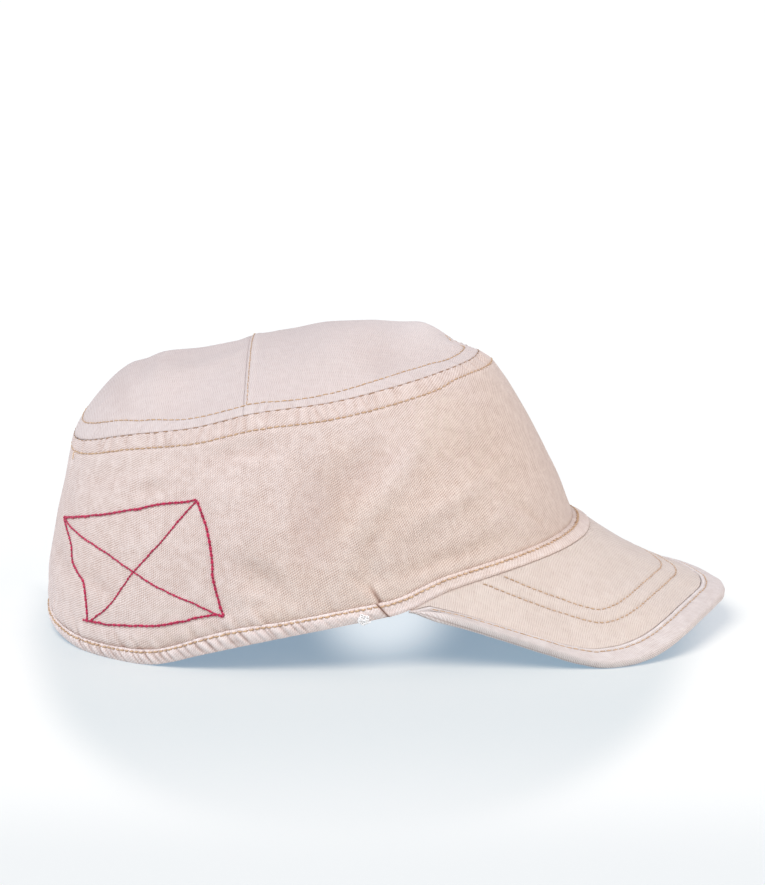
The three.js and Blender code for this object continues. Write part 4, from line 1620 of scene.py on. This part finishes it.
@dataclass
class PeakBoard:
    """The peak's stiff board in its cloth, quilted with two rows of stitches.

    Attributes:
        form: The shared surfaces.
        columns: Columns of the mesh.
        end: How far round it runs, where the peak's corner is 1.
        flange: How far up inside the band its edge is sewn in, as a share of the band's height.
    """

    form: CapForm
    columns: int = 430
    end: float = 0.985
    flange: float = 0.35

    def __post_init__(self) -> None:
        """Draws the noise."""
        self.away = EdgeDistance(self.form)
        self.broad = SoftNoise(41, 24.0)
        self.middle = SoftNoise(42, 9.0)
        self.fine = SoftNoise(43, 3.0)

    def relief(self, side: Array, share: Array) -> tuple[Array, Array]:
        """Grooves of the rows, soft cloth between them, and the tone."""
        width = self.form.peak_width(side)
        from_band = share * width
        base = self.form.peak(side, share)
        away = self.away(side, share)
        outer, inner = PEAK_ROWS
        rows = bell(away - outer, 0.6) + bell(away - inner, 0.6)
        crowns = (outer - 3, (outer + inner) / 2, inner + 3)
        puff = sum(bell(away - crown, 2.2) for crown in crowns)
        groove = bell((1 - share) * width - RIM_WIDE - 0.2, 0.5)
        out = 0.18 * puff - 0.3 * rows - 0.06 * groove + 0.34 * self.broad(base)
        out = out + 0.08 * self.middle(base) + 0.04 * self.fine(base)
        # Painted shade in the grooves of the rows.
        tone = 0.5 - 0.08 * rows + 0.02 * self.fine(base) + 0.02 * self.middle(base)
        return out * smooth(from_band, 0.5, 5), np.clip(tone, 0, 1)

    def face(self, side: Array, share: Array, over: float = 1.0) -> tuple[Array, Array]:
        """A face of the board, over or under, and its tone."""
        width = self.form.peak_width(side)
        fullness = self.form.peak_fullness(side)
        rim = self.form.rim_width(width)
        from_edge = (1 - share) * width
        thick = smooth(from_edge, rim + PEAK_STEP_NEAR, rim + PEAK_STEP_FAR)
        half = (PEAK_EDGE_HALF + (PEAK_HALF - PEAK_EDGE_HALF) * thick) * fullness
        out, tone = self.relief(side, share)
        away = over * half + (out * fullness * smooth(width, 4, 20) if over > 0 else 0)
        point = self.form.peak(side, share) + self.form.peak_out(side, share) * away[..., None]
        point[..., 2] = np.maximum(point[..., 2], 0)
        return point, tone

    def build(self) -> MeshData:
        """The whole board."""
        side = np.linspace(-self.end, self.end, self.columns)
        width = self.form.peak_width(side)
        rim = self.form.rim_width(width)
        step = np.minimum(1, width / 10)
        body = 1 - (rim + (PEAK_STEP_FAR + 0.2) * step) / width
        low = np.linspace(0, 1, 74)[None, :] * body[:, None]
        steps = np.array([PEAK_STEP_FAR, PEAK_STEP_NEAR + 0.2, PEAK_STEP_NEAR, 0.0])
        middle = 1 - (rim[:, None] + steps[None, :] * step[:, None]) / width[:, None]
        last = 1 - PEAK_INSIDE_RIM * step[:, None] / width[:, None]
        share = np.concatenate([low, middle, last], axis=1)
        turned = np.broadcast_to(side[:, None], share.shape)
        grids = []
        for over, picks in ((1.0, list(range(79))), (-1.0, [*range(0, 74, 4), 73, 75, 76, 77, 78])):
            points, tone = self.face(turned[:, picks], share[:, picks], over)
            angle = side * self.form.peak_turn
            climb = self.form.band_top(angle) - self.form.hem(angle)
            tucked = points[:, 0] + self.flange * climb - PEAK_TUCK * self.form.hem_out(angle)
            points = np.concatenate([tucked[:, None], points], axis=1)
            # Painted contact shadow: the row tucked under the band is dark.
            tone = np.concatenate([np.full_like(tone[:, :1], 0.1), tone], axis=1)
            grids.append(Grid(points, points[..., :2].copy(), tone))
        return shell(grids[0], grids[1])


@dataclass
class PeakBinding:
    """The strip of cloth folded round the peak's edge and sewn near its fold.

    Attributes:
        form: The shared surfaces.
        columns: Columns of the mesh.
        end: How far round it runs, where the peak's corner is 1.
    """

    form: CapForm
    columns: int = 620
    end: float = 0.995

    def __post_init__(self) -> None:
        """Draws the noise."""
        self.middle = SoftNoise(51, 7.0)
        self.fine = SoftNoise(52, 2.0)

    def half(self, side: Array) -> Array:
        """Half the thickness of the binding round the peak's edge, tapered at both ends."""
        ended = smooth(1 - np.abs(side), 0.0, 0.05)
        return RIM_HALF * self.form.peak_fullness(side) * (0.3 + 0.7 * ended)

    def fold_relief(self, from_fold: Array, wide: Array, base: Array) -> tuple[Array, Array]:
        """The fold, the groove beside it and the row of stitches.

        Args:
            from_fold: Distance from the fold towards the peak's edge.
            wide: Width of the binding.
            base: The plain surface.

        Returns:
            How far the cloth stands out, and its tone.
        """
        grain = self.fine(base)
        crest = bell(from_fold - 0.75, 0.6)
        row = bell(from_fold - BINDING_ROW, 0.5)
        scale = smooth(wide, 2.5, 7.5)
        thinner = -0.6 * np.exp(-from_fold / 2.2)
        out = scale * (thinner + 0.28 * crest - 0.26 * row + 0.12 * bell(from_fold - 4.4, 1.8))
        out = out + 0.1 * self.middle(base) + 0.05 * grain
        # Painted highlight, with wear, on the fold's crest; painted shade in the row's groove and at the
        # fold's inner edge.
        tone = 0.53 + 0.16 * crest - 0.08 * row + 0.07 * grain - 0.1 * bell(from_fold, 0.25)
        return out, tone

    def layer(self, side: Array, half: Array, sewn: bool) -> tuple[Array, Array, Array]:
        """One layer of the binding round its whole section.

        Args:
            side: Places round the peak.
            half: Half the thickness of the layer's section at each place.
            sewn: Whether it is the outer layer, with its fold and stitches.

        Returns:
            Points, tone and distance along the section.
        """
        width = self.form.peak_width(side)
        wide = self.form.rim_width(width)
        flat = np.array([0, 0.25, 0.6, 1.0, 1.4, 1.8, 2.2, 2.7, 3.4, 4.4, 5.6, 6.9, RIM_WIDE]) / RIM_WIDE
        turned = np.broadcast_to(side[:, None], (len(side), len(flat)))
        share = 1 - wide[:, None] * (1 - flat[None, :]) / width[:, None]
        core = self.form.peak(side, np.ones_like(side))
        over = self.form.peak_out(side, np.ones_like(side))
        outward = unit(core - self.form.peak(side, np.full_like(side, 1 - STEP)))
        turns = np.radians(np.arange(15, 180, 15))
        base = self.form.peak(turned, share)
        normal = self.form.peak_out(turned, share)
        if sewn:
            extra, top_tone = self.fold_relief(wide[:, None] * flat[None, :], wide[:, None], base)
        else:
            extra = np.zeros_like(share)
            top_tone = np.full_like(share, 0.4)
        top = base + normal * (half[:, None] + extra)[..., None]
        under = (base - normal * half[:, None, None])[:, ::-1]
        bend = np.cos(turns)[None, :, None] * over[:, None] + np.sin(turns)[None, :, None] * outward[:, None]
        lip = -0.32 * bell(np.degrees(turns) - 120, 9) if sewn else np.zeros_like(turns)
        rough = 0.05 * self.fine(core[:, None] + 3 * bend) if sewn else 0.0
        round_it = core[:, None] + bend * (half[:, None] + lip[None, :] + rough)[..., None]
        points = np.concatenate([top, round_it, under], axis=1)
        points[..., 2] = np.maximum(points[..., 2], 0)
        # Painted shadow: a dark line along the lip under the folded edge; the underside is a little darker.
        bend_tone = np.broadcast_to(0.54 + 0.8 * lip[None, :], (len(side), len(turns)))
        tone = np.concatenate([top_tone, bend_tone, np.full_like(top_tone, 0.42)], axis=1)
        return points, np.clip(tone, 0, 1), lengths_along(points)

    def build(self) -> MeshData:
        """The whole binding."""
        side = np.linspace(-self.end, self.end, self.columns)
        half = self.half(side)
        reach = lengths_along(self.form.peak_edge(side))
        grids = []
        for thickness, sewn in ((half, True), (half * (1 - RIM_CLOTH / RIM_HALF), False)):
            points, tone, along = self.layer(side, thickness, sewn)
            arc = np.broadcast_to(reach[:, None], along.shape)
            grids.append(Grid(points, np.stack([arc, along], axis=-1), tone))
        outer, inner = grids
        picks = [*range(0, inner.points.shape[1] - 1, 3), inner.points.shape[1] - 1]
        return shell(outer, inner.rows(picks))


@dataclass
class StitchRow:
    """A row of machine stitches, each an arch of thread that dives into the cloth at both ends.

    Attributes:
        place: Function from an array of places along the row to points and unit vectors out.
        start: First place.
        end: Last place.
        seed: Seed of each stitch's small differences.
        pitch: Distance from stitch to stitch.
        thread: Thickness of the thread.
        cover: Share of half the pitch that a stitch reaches.
    """

    place: Placing
    start: float
    end: float
    seed: int
    pitch: float = STITCH_PITCH
    thread: float = THREAD
    cover: float = 0.92

    def build(self) -> MeshData:
        """The whole row."""
        fine = np.linspace(self.start, self.end, 4001)
        reach = lengths_along(self.place(fine)[0])
        count = max(1, int(round(reach[-1] / self.pitch)))
        pitch = reach[-1] / count
        rng = np.random.default_rng(self.seed)
        middle = (np.arange(count) + 0.5) * pitch + rng.uniform(-0.1, 0.1, count)
        half = pitch / 2 * self.cover * rng.uniform(0.9, 1.06, count)
        share = np.array([-1, -0.84, -0.5, 0, 0.5, 0.84, 1])
        at = middle[:, None] + half[:, None] * share
        points, ups = self.place(np.interp(at.ravel(), reach, fine))
        points = points.reshape(*at.shape, 3)
        ups = ups.reshape(*at.shape, 3)
        arch = np.array([-0.7, -0.1, 0.36, 0.5, 0.36, -0.1, -0.7]) * self.thread
        sway = np.cross(unit(np.gradient(points, axis=1)), ups)
        aside, turned = (rng.uniform(-most, most, (count, 1, 1)) for most in (0.1, 0.14))
        shift = aside + turned * share[:, None]
        paths = points + ups * arch[:, None] + sway * shift
        thick = self.thread / 2 * np.array([0.55, 0.85, 1.0, 1.08, 1.0, 0.85, 0.55])
        radii = thick[None, :] * rng.uniform(0.9, 1.12, (count, 1))
        # Painted shade: each stitch darkens towards both ends, where it dives into the cloth.
        tone = np.array([0.0, 0.12, 0.42, 0.5, 0.42, 0.12, 0.0])[None, :] * rng.uniform(0.8, 1.0, (count, 1))
        return tubes(paths, ups, radii, tone)


# Routes of the crimson stitching, each through a few points near the wall
BOX_ROUTES = {
    "top": [(-96.3, -23.2, 44.7), (-88.1, -39.8, 49.1), (-80, -49.4, 52.2), (-68.3, -58.3, 56.4),
            (-56.4, -64.1, 60.2), (-44, -68.5, 62.8)],
    "front": [(-44, -68.5, 62.8), (-40, -72.5, 52), (-38.4, -74.8, 43.1), (-38.1, -76.1, 36.9),
              (-36.2, -77.6, 27.7), (-33.8, -78.7, 20.7)],
    "bottom": [(-33.8, -78.7, 20.7), (-37.5, -78, 21.3), (-51, -74.9, 17.5), (-64.3, -69.5, 14.7),
               (-79.2, -59.7, 12.7), (-88.0, -50.6, 11.8)],
    "back": [(-86.2, -52.8, 11.6), (-86.5, -51.4, 18.6), (-87.9, -48.3, 25.6), (-92, -40.1, 31.2),
             (-92.8, -36.5, 37.2), (-96.3, -23.2, 44.7)],
    "falling": [(-96.3, -23.2, 44.7), (-82.7, -50.3, 40.4), (-68.2, -64.2, 34), (-54.4, -72.3, 28.2),
                (-36.8, -78.1, 21.7)],
    "rising": [(-44, -68.5, 62.8), (-53, -67.9, 51.9), (-59.4, -66.9, 44), (-68.2, -64.2, 33.7),
               (-75.1, -61.5, 23.3), (-78.7, -59.3, 18.4), (-85, -54, 12.4)],
}


@dataclass
class BoxStitch:
    """A square with a cross, sewn in thick crimson thread with a locked, rope-like stitch.

    Attributes:
        wall: The wall that it is sewn on.
        ply_pitch: Length of one turn of the plies.
        stitch: Length of one stitch.
        thick: Thickness of each line.
    """

    wall: SideWall
    ply_pitch: float = 2.5
    stitch: float = 2.5
    thick: dict[str, float] = field(default_factory=lambda: {
        "top": 1.1, "front": 1.22, "bottom": 1.1, "back": 1.12, "falling": 0.88, "rising": 0.84,
    })

    def routes(self) -> dict[str, tuple[Array, Array]]:
        """Each route as closely spaced angles and shares of the way up the wall."""
        found = {}
        for name, points in BOX_ROUTES.items():
            angle, up = self.wall.locate(np.array(points, float))
            reach = lengths_along(self.wall.form.wall(angle, up))
            table = {"at": list(reach), "angle": list(angle), "up": list(up)}
            fine = np.linspace(0, reach[-1], int(reach[-1] / 0.25) + 1)
            found[name] = (Curve(table, "at", "angle")(fine), Curve(table, "at", "up")(fine))
        return found

    def lines(self) -> Array:
        """Points along all the routes, on the plain wall."""
        return np.concatenate([self.wall.form.wall(*route)[::3] for route in self.routes().values()])

    def build(self) -> MeshData:
        """All the crimson thread."""
        parts = []
        for number, (name, (angle, up)) in enumerate(self.routes().items()):
            points = self.wall.face(angle, up)[0]
            ups = normal_of(self.wall.form.wall, angle, up)
            reach = lengths_along(points)
            across = unit(np.cross(np.gradient(points, axis=0), ups))
            size = self.thick[name]
            wander = SoftNoise(60 + number, 3.0)(points)
            dip = np.abs(np.sin(math.pi * reach / self.stitch)) ** 0.7
            ends = smooth(reach, 0, 0.6) * smooth(reach[-1] - reach, 0, 0.6)
            lift = (0.12 + 0.14 * dip) * size
            points = points + across * (0.24 * wander)[:, None]
            full = (0.62 + 0.38 * dip) * (0.55 + 0.45 * ends) * (1 + 0.14 * wander)
            for ply in (0.0, math.pi):
                turn = 2 * math.pi * reach / self.ply_pitch + ply + 1.4 * wander
                swing = 0.27 * size * full
                path = points + ups * (lift + 0.8 * swing * np.sin(turn))[:, None]
                path = path + across * (swing * np.cos(turn))[:, None]
                radius = 0.25 * size * full
                # Painted shade where each stitch dives into the cloth.
                tone = 0.5 - 0.34 * (1 - dip) + 0.05 * wander
                parts.append(tubes(path[None], ups[None], radius[None], tone[None], 7))
        return join(parts)


@dataclass
class BarTackKnot:
    """A tuft of white thread that ties off the elastic, looped round its middle.

    Attributes:
        casing: The casing that it sits on.
        x: Place along the cap.
        up: Share of the casing's height.
        loops: Number of loops.
        thread: Thickness of the thread.
        seed: Seed of the loops.
    """

    casing: HemCasing
    x: float = 17.4
    up: float = 0.2
    loops: int = 34
    thread: float = 0.5
    seed: int = 71

    def build(self) -> MeshData:
        """All the loops."""
        angle = np.array([2 * math.pi - HEM_PLAN.angle_at(self.x)])
        centre = self.casing.face(angle, np.array([self.up]))[0][0]
        out = self.casing.form.hem_out(angle)[0]
        along = unit(np.cross(np.array([0.0, 0.0, 1.0]), out))
        rise = np.cross(out, along)
        rng = np.random.default_rng(self.seed)
        turn = np.linspace(0, 1.6 * math.pi, 16)
        paths = []
        for number in range(self.loops):
            lean = 2 * math.pi * (number + rng.uniform(-0.4, 0.4)) / self.loops * 3
            away = rng.uniform(0.75, 1.75)
            middle = centre + away * (1.1 * math.cos(lean) * along + 0.9 * math.sin(lean) * rise)
            first = unit(math.cos(lean) * along + math.sin(lean) * rise + rng.uniform(-0.4, 0.5) * out)
            second = unit(np.cross(out, first) + rng.uniform(-0.6, 0.6) * out)
            begin = rng.uniform(0, 2 * math.pi)
            size = rng.uniform(0.4, 0.75)
            ring = np.cos(turn + begin)[:, None] * first + np.sin(turn + begin)[:, None] * second
            paths.append(middle + size * ring + out * rng.uniform(0.35, 1.1))
        paths = np.array(paths)
        ups = np.broadcast_to(out + 0.01, paths.shape)
        radii = np.full(paths.shape[:2], self.thread / 2)
        return tubes(paths, ups, radii, np.full(paths.shape[:2], 0.5))


@dataclass
class Topstitching:
    """All the rows of thread, and the pieces that they are sewn on."""

    form: CapForm
    wall: SideWall
    panels: dict[Panel, TopPanel]
    casing: HemCasing
    band: FrontBand
    board: PeakBoard
    binding: PeakBinding

    def on_wall(self, angle: Array) -> tuple[Array, Array]:
        """The row under the seam round the top."""
        up = self.wall.row_share(angle)
        return self.wall.face(angle, up)[0], normal_of(self.form.wall, angle, up)

    def on_top(self, angle: Array) -> tuple[Array, Array]:
        """The row over the seam round the top."""
        ring = SEAM_PLAN.point(angle)
        panel = self.panels[Panel.FRONT]
        radius = SEAM_PLAN.radius(angle) - panel.row(ring[0]) / panel.slope
        x = SEAM_PLAN.centre + radius * np.cos(angle)
        y = radius * np.sin(angle)
        return panel.face(x, y)[0], normal_of(self.form.top, x, y)

    def on_seam(self, angle: Array) -> tuple[Array, Array]:
        """The stitches that close the seam round the top, deep in its fold."""
        mitre = self.form.mitre(angle)
        return self.wall.face(angle, np.full_like(angle, 0.998))[0] - 0.2 * mitre, mitre

    def loose_end(self) -> MeshData:
        """The row's loose end, which hangs from under the seam at the back of the near side."""
        share = np.linspace(0, 1, 14)[:, None]
        start, out = (found[0] for found in self.on_wall(np.array([LOOSE_END_ANGLE])))
        curl = 0.6 * np.sin(4 * share) * np.cross(out, (0.0, 0.0, 1.0))
        path = start + out * (0.2 + 1.5 * np.sqrt(share)) + curl - share ** 1.4 * np.array([0.0, 0.0, 3.2])
        ups = np.broadcast_to(out + np.array([0.0, 0.0, 0.5]), path.shape)
        return tubes(path[None], ups[None], np.full((1, 14), THREAD / 2), np.full((1, 14), 0.5))

    def across_top(self, y: Array) -> tuple[Array, Array]:
        """The row beside the seam between the panels."""
        x = np.full_like(y, TOP_SEAM_X + TOP_SEAM_ROW)
        return self.panels[Panel.FRONT].face(x, y)[0], normal_of(self.form.top, x, y)

    def on_strip(self, strip: EdgeStrip) -> Placing:
        """The row along the casing or the band."""
        def place(angle: Array) -> tuple[Array, Array]:
            """Points and unit vectors out at angles round the cap."""
            return strip.face(angle, np.full_like(angle, strip.row_up))[0], self.form.hem_out(angle)
        return place

    def on_board(self, away: float) -> Placing:
        """A row on the peak, at a distance from its edge."""
        def place(side: Array) -> tuple[Array, Array]:
            """Points and unit vectors out at places round the peak."""
            share = self.board.away.share_at(side, away)
            return self.board.face(side, share)[0], self.form.peak_out(side, share)
        return place

    def on_binding(self, side: Array) -> tuple[Array, Array]:
        """The row on the binding, beside its fold."""
        width = self.form.peak_width(side)
        wide = self.form.rim_width(width)
        share = 1 - (wide - BINDING_ROW * wide / RIM_WIDE) / width
        out = self.form.peak_out(side, share)
        plain = self.form.peak(side, share)
        extra = self.binding.fold_relief(BINDING_ROW * wide / RIM_WIDE, wide, plain)[0]
        return plain + out * (self.binding.half(side) + extra)[..., None], out

    def peak_reach(self, away: float) -> float:
        """The last place round the peak where it is wide enough for a row."""
        side = np.linspace(0, RIM_END, 2001)
        wide = self.board.away(side, np.zeros_like(side)) > away + 0.3
        return float(side[wide][-1])

    def rows(self) -> dict[str, MeshData]:
        """Each row's thread, by name."""
        turn = self.panels[Panel.FRONT].turn
        y_end = float(SEAM_PLAN.radius(np.array(turn)) * math.sin(turn)) - 5.6
        found = {
            "stitches_wall": StitchRow(self.on_wall, 0.0, 2 * math.pi, 101, thread=0.46).build(),
            "stitches_top": StitchRow(self.on_top, 0.0, 2 * math.pi, 102, thread=0.46).build(),
            "stitches_seam": StitchRow(self.on_seam, 0.0, 2 * math.pi, 109, SEAM_PITCH, 0.46, 0.74).build(),
            "thread_loose_end": self.loose_end(),
            "stitches_across_top": StitchRow(self.across_top, -y_end, y_end, 103, thread=0.36).build(),
            "stitches_binding": StitchRow(self.on_binding, -RIM_STITCHED_TO, RIM_STITCHED_TO, 104).build(),
        }
        for name, strip, seed in (("stitches_casing", self.casing, 105), ("stitches_band", self.band, 106)):
            row = StitchRow(self.on_strip(strip), strip.start, strip.end, seed, strip.pitch, 0.6)
            found[name] = row.build()
        quilted = []
        for seed, away in enumerate(PEAK_ROWS, 107):
            reach = self.peak_reach(away)
            row = StitchRow(self.on_board(away), -reach, reach, seed, 2.35, 0.41, 0.76)
            quilted.append(row.build())
        found["stitches_peak"] = join(quilted)
        return found


@dataclass(frozen=True)
class Spot:
    """A soft-edged oval on the table.

    Attributes:
        centre: Its centre, from the middle of the solids.
        half: Half its length and half its depth.
        start: Share of its size at which it begins to fade.
        end: Share of its size at which it is gone.
    """

    centre: tuple[float, float]
    half: tuple[float, float]
    start: float
    end: float


@dataclass
class Studio:
    """A white table with a painted glow and painted shadow, soft light from over the cap, and the camera.

    Attributes:
        azimuth: Camera's direction, in degrees.
        elevation: Camera's height over the horizon, in degrees.
        distance: Camera's distance from what it looks at.
        pixel: Size of a pixel at that distance.
        image_tall: Height of the image in pixels.
        sensor: Height of the camera's sensor.
        target: What the camera looks at.
    """

    azimuth: float = 1.0
    elevation: float = 13.5
    distance: float = 2600.0
    pixel: float = 0.38
    image_tall: int = 885
    sensor: float = 36.0
    target: tuple[float, float, float] = (23.6, 0.0, 68.6)

    def camera(self, shift: Array) -> None:
        """Makes the camera at the photograph's angle."""
        lens = self.distance / self.pixel * self.sensor / self.image_tall
        data = bpy.data.cameras.new("camera")
        data.lens = lens
        data.sensor_width = self.sensor
        data.clip_start = 0.1
        data.clip_end = 100
        thing = add_object("camera", data)
        a, e = math.radians(self.azimuth), math.radians(self.elevation)
        back = Vector((math.sin(a) * math.cos(e), -math.cos(a) * math.cos(e), math.sin(e)))
        aim = Vector(np.array(self.target) * MM + shift)
        thing.location = aim + back * self.distance * MM
        look_back(thing, back)
        bpy.context.scene.camera = thing

    def light(self, name: str, towards: tuple[float, float, float], softness: float, power: float,
              colour: str) -> None:
        """Adds a wide light that reaches all of the table evenly.

        Args:
            name: Name of the light.
            towards: Direction from the cap to the light.
            softness: How wide the light is, in degrees.
            power: Its strength.
            colour: Its colour.
        """
        data = bpy.data.lights.new(name, "SUN")
        data.angle = math.radians(softness)
        data.energy = power
        data.color = linear(colour)[:3]
        thing = add_object(name, data)
        thing.location = Vector(towards)
        look_back(thing, Vector(towards))

    def lights(self) -> None:
        """Makes the soft lights and the sky that fills the shadows."""
        self.light("soft_key", (-0.35, -0.42, 0.84), 42, 2.47, "#f9faff")
        self.light("warm_fill", (0.93, -0.27, 0.26), 60, 1.25, "#ffecdc")
        world = bpy.data.worlds.new("studio_sky")
        world.use_nodes = True
        sky = world.node_tree.nodes["Background"]
        sky.inputs["Color"].default_value = linear("#eef4ff")
        sky.inputs["Strength"].default_value = 0.42
        bpy.context.scene.world = world
        bpy.context.scene.view_settings.view_transform = "Standard"

    @staticmethod
    def spot(tree: Tree, place: Socket, spot: Spot) -> Socket:
        """0 inside a soft-edged oval on the table and 1 outside it."""
        half = (1 / spot.half[0] / MM, 1 / spot.half[1] / MM, 0.0)
        centre = (-spot.centre[0] / spot.half[0], -spot.centre[1] / spot.half[1], 0.0)
        moved = add_node(tree, "ShaderNodeVectorMath", {
            0: place, 1: half, 2: centre,
        }, operation="MULTIPLY_ADD")
        away = add_node(tree, "ShaderNodeVectorMath", {0: moved}, "Value", operation="LENGTH")
        return add_node(tree, "ShaderNodeMapRange", {
            "Value": away, "From Min": spot.start, "From Max": spot.end,
        }, interpolation_type="SMOOTHERSTEP")

    def glow(self, tree: Tree) -> Socket:
        """Colour of the table's painted glow, with painted shadow round the cap and a painted pool of light
        under it.
        """
        place = add_node(tree, "ShaderNodeTexCoord", {}, "Object")
        depth = add_node(tree, "ShaderNodeSeparateXYZ", {0: place}, 1)
        near, nearer, behind = (
            add_node(tree, "ShaderNodeMapRange", {
                "Value": depth, "From Min": start * MM, "From Max": end * MM,
            }, interpolation_type="SMOOTHSTEP")
            for start, end in ((-120, -290), (-190, -330), (0, 60))
        )
        # Painted pool of light under the cap's middle, where light passes under the raised hem.
        through = self.spot(tree, place, Spot((-1.0, 10.0), (34.0, 100.0), 0.15, 1.1))
        # Painted shadow: the glow is dimmer inside this oval round the cap.
        oval = self.spot(tree, place, Spot((-9.0, 0.0), (124.0, 292.0), 0.88, 1.12))
        around = add_node(tree, "ShaderNodeMath", {0: oval, 1: behind}, operation="MAXIMUM")
        mix = {"kind": "ShaderNodeMix", "output": MIX_COLOUR, "data_type": "RGBA"}
        middle = add_node(tree, inputs={MIX_SHARE: through, MIX_UNDER: "#d6e2ec", MIX_OVER: "#7693aa"}, **mix)
        inside = add_node(tree, inputs={MIX_SHARE: near, MIX_UNDER: middle, MIX_OVER: "#95a7b9"}, **mix)
        outside = add_node(tree, inputs={MIX_SHARE: nearer, MIX_UNDER: "#aebbc9", MIX_OVER: "#95a7b9"}, **mix)
        return add_node(tree, inputs={MIX_SHARE: around, MIX_UNDER: inside, MIX_OVER: outside}, **mix)

    def table(self) -> bpy.types.Object:
        """Makes a white table with a faint blue painted glow, dimmer round the cap as painted shadow."""
        half = 40.0
        mesh = bpy.data.meshes.new("table")
        corners = [(-half, -half, 0), (half, -half, 0), (half, half, 0), (-half, half, 0)]
        mesh.from_pydata(corners, [], [(0, 1, 2, 3)])
        made, tree = new_material("backlit_white_acrylic")
        shader = add_node(tree, "ShaderNodeBsdfPrincipled", {
            "Base Color": linear("#c3b9a8"), "Roughness": 0.85, "Specular IOR Level": 0.1,
            "Emission Color": self.glow(tree), "Emission Strength": 1.0,
        })
        add_node(tree, "ShaderNodeOutputMaterial", {"Surface": shader})
        mesh.materials.append(made)
        thing = add_object("table", mesh)
        return thing


def dress() -> None:
    """Makes every piece of the cap."""
    form = CapForm()
    dresser = Dresser()
    wall = SideWall(form)
    box = BoxStitch(wall)
    wall.box_lines = box.lines()
    notch = HEM_PLAN.angle_at(NOTCH_X)
    casing = HemCasing(form, CASING_SECTION, notch, 2 * math.pi - notch, 1200, 0.84)
    band = FrontBand(form, BAND_SECTION, -notch, notch, 460, 0.78)
    panels = {panel: TopPanel(form, panel) for panel in Panel}
    board = PeakBoard(form)
    binding = PeakBinding(form)
    dresser.piece("wall_cloth", wall.build(), CROWN_TWILL, "crown_side")
    for panel, top in panels.items():
        dresser.piece(f"{panel.value}_cloth", top.build(), TOP_TWILL, panel.value, 0.002)
    dresser.piece("casing_cloth", casing.build(), HEM_TWILL, "hem_casing")
    dresser.piece("band_cloth", band.build(), HEM_TWILL, "front_band")
    dresser.piece("peak_cloth", board.build(), PEAK_TWILL, "peak")
    dresser.piece("binding_cloth", binding.build(), BINDING_TWILL, "peak_rim")
    rows = Topstitching(form, wall, panels, casing, band, board, binding).rows()
    for name, data in rows.items():
        finish = BROWN_THREAD if name == "stitches_seam" else TAN_THREAD
        dresser.piece(name, data, finish)
    dresser.piece("box_stitch", box.build(), CRIMSON_THREAD)
    dresser.piece("thread_knot", BarTackKnot(casing).build(), WHITE_THREAD)
    studio = Studio()
    studio.camera(dresser.shift)
    studio.lights()
    studio.table()


def main() -> None:
    """Builds the cap and its setting."""
    logging.basicConfig(level=logging.INFO, format="%(name)s: %(message)s")
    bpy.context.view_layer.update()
    dress()


if __name__ == "__main__":
    main()
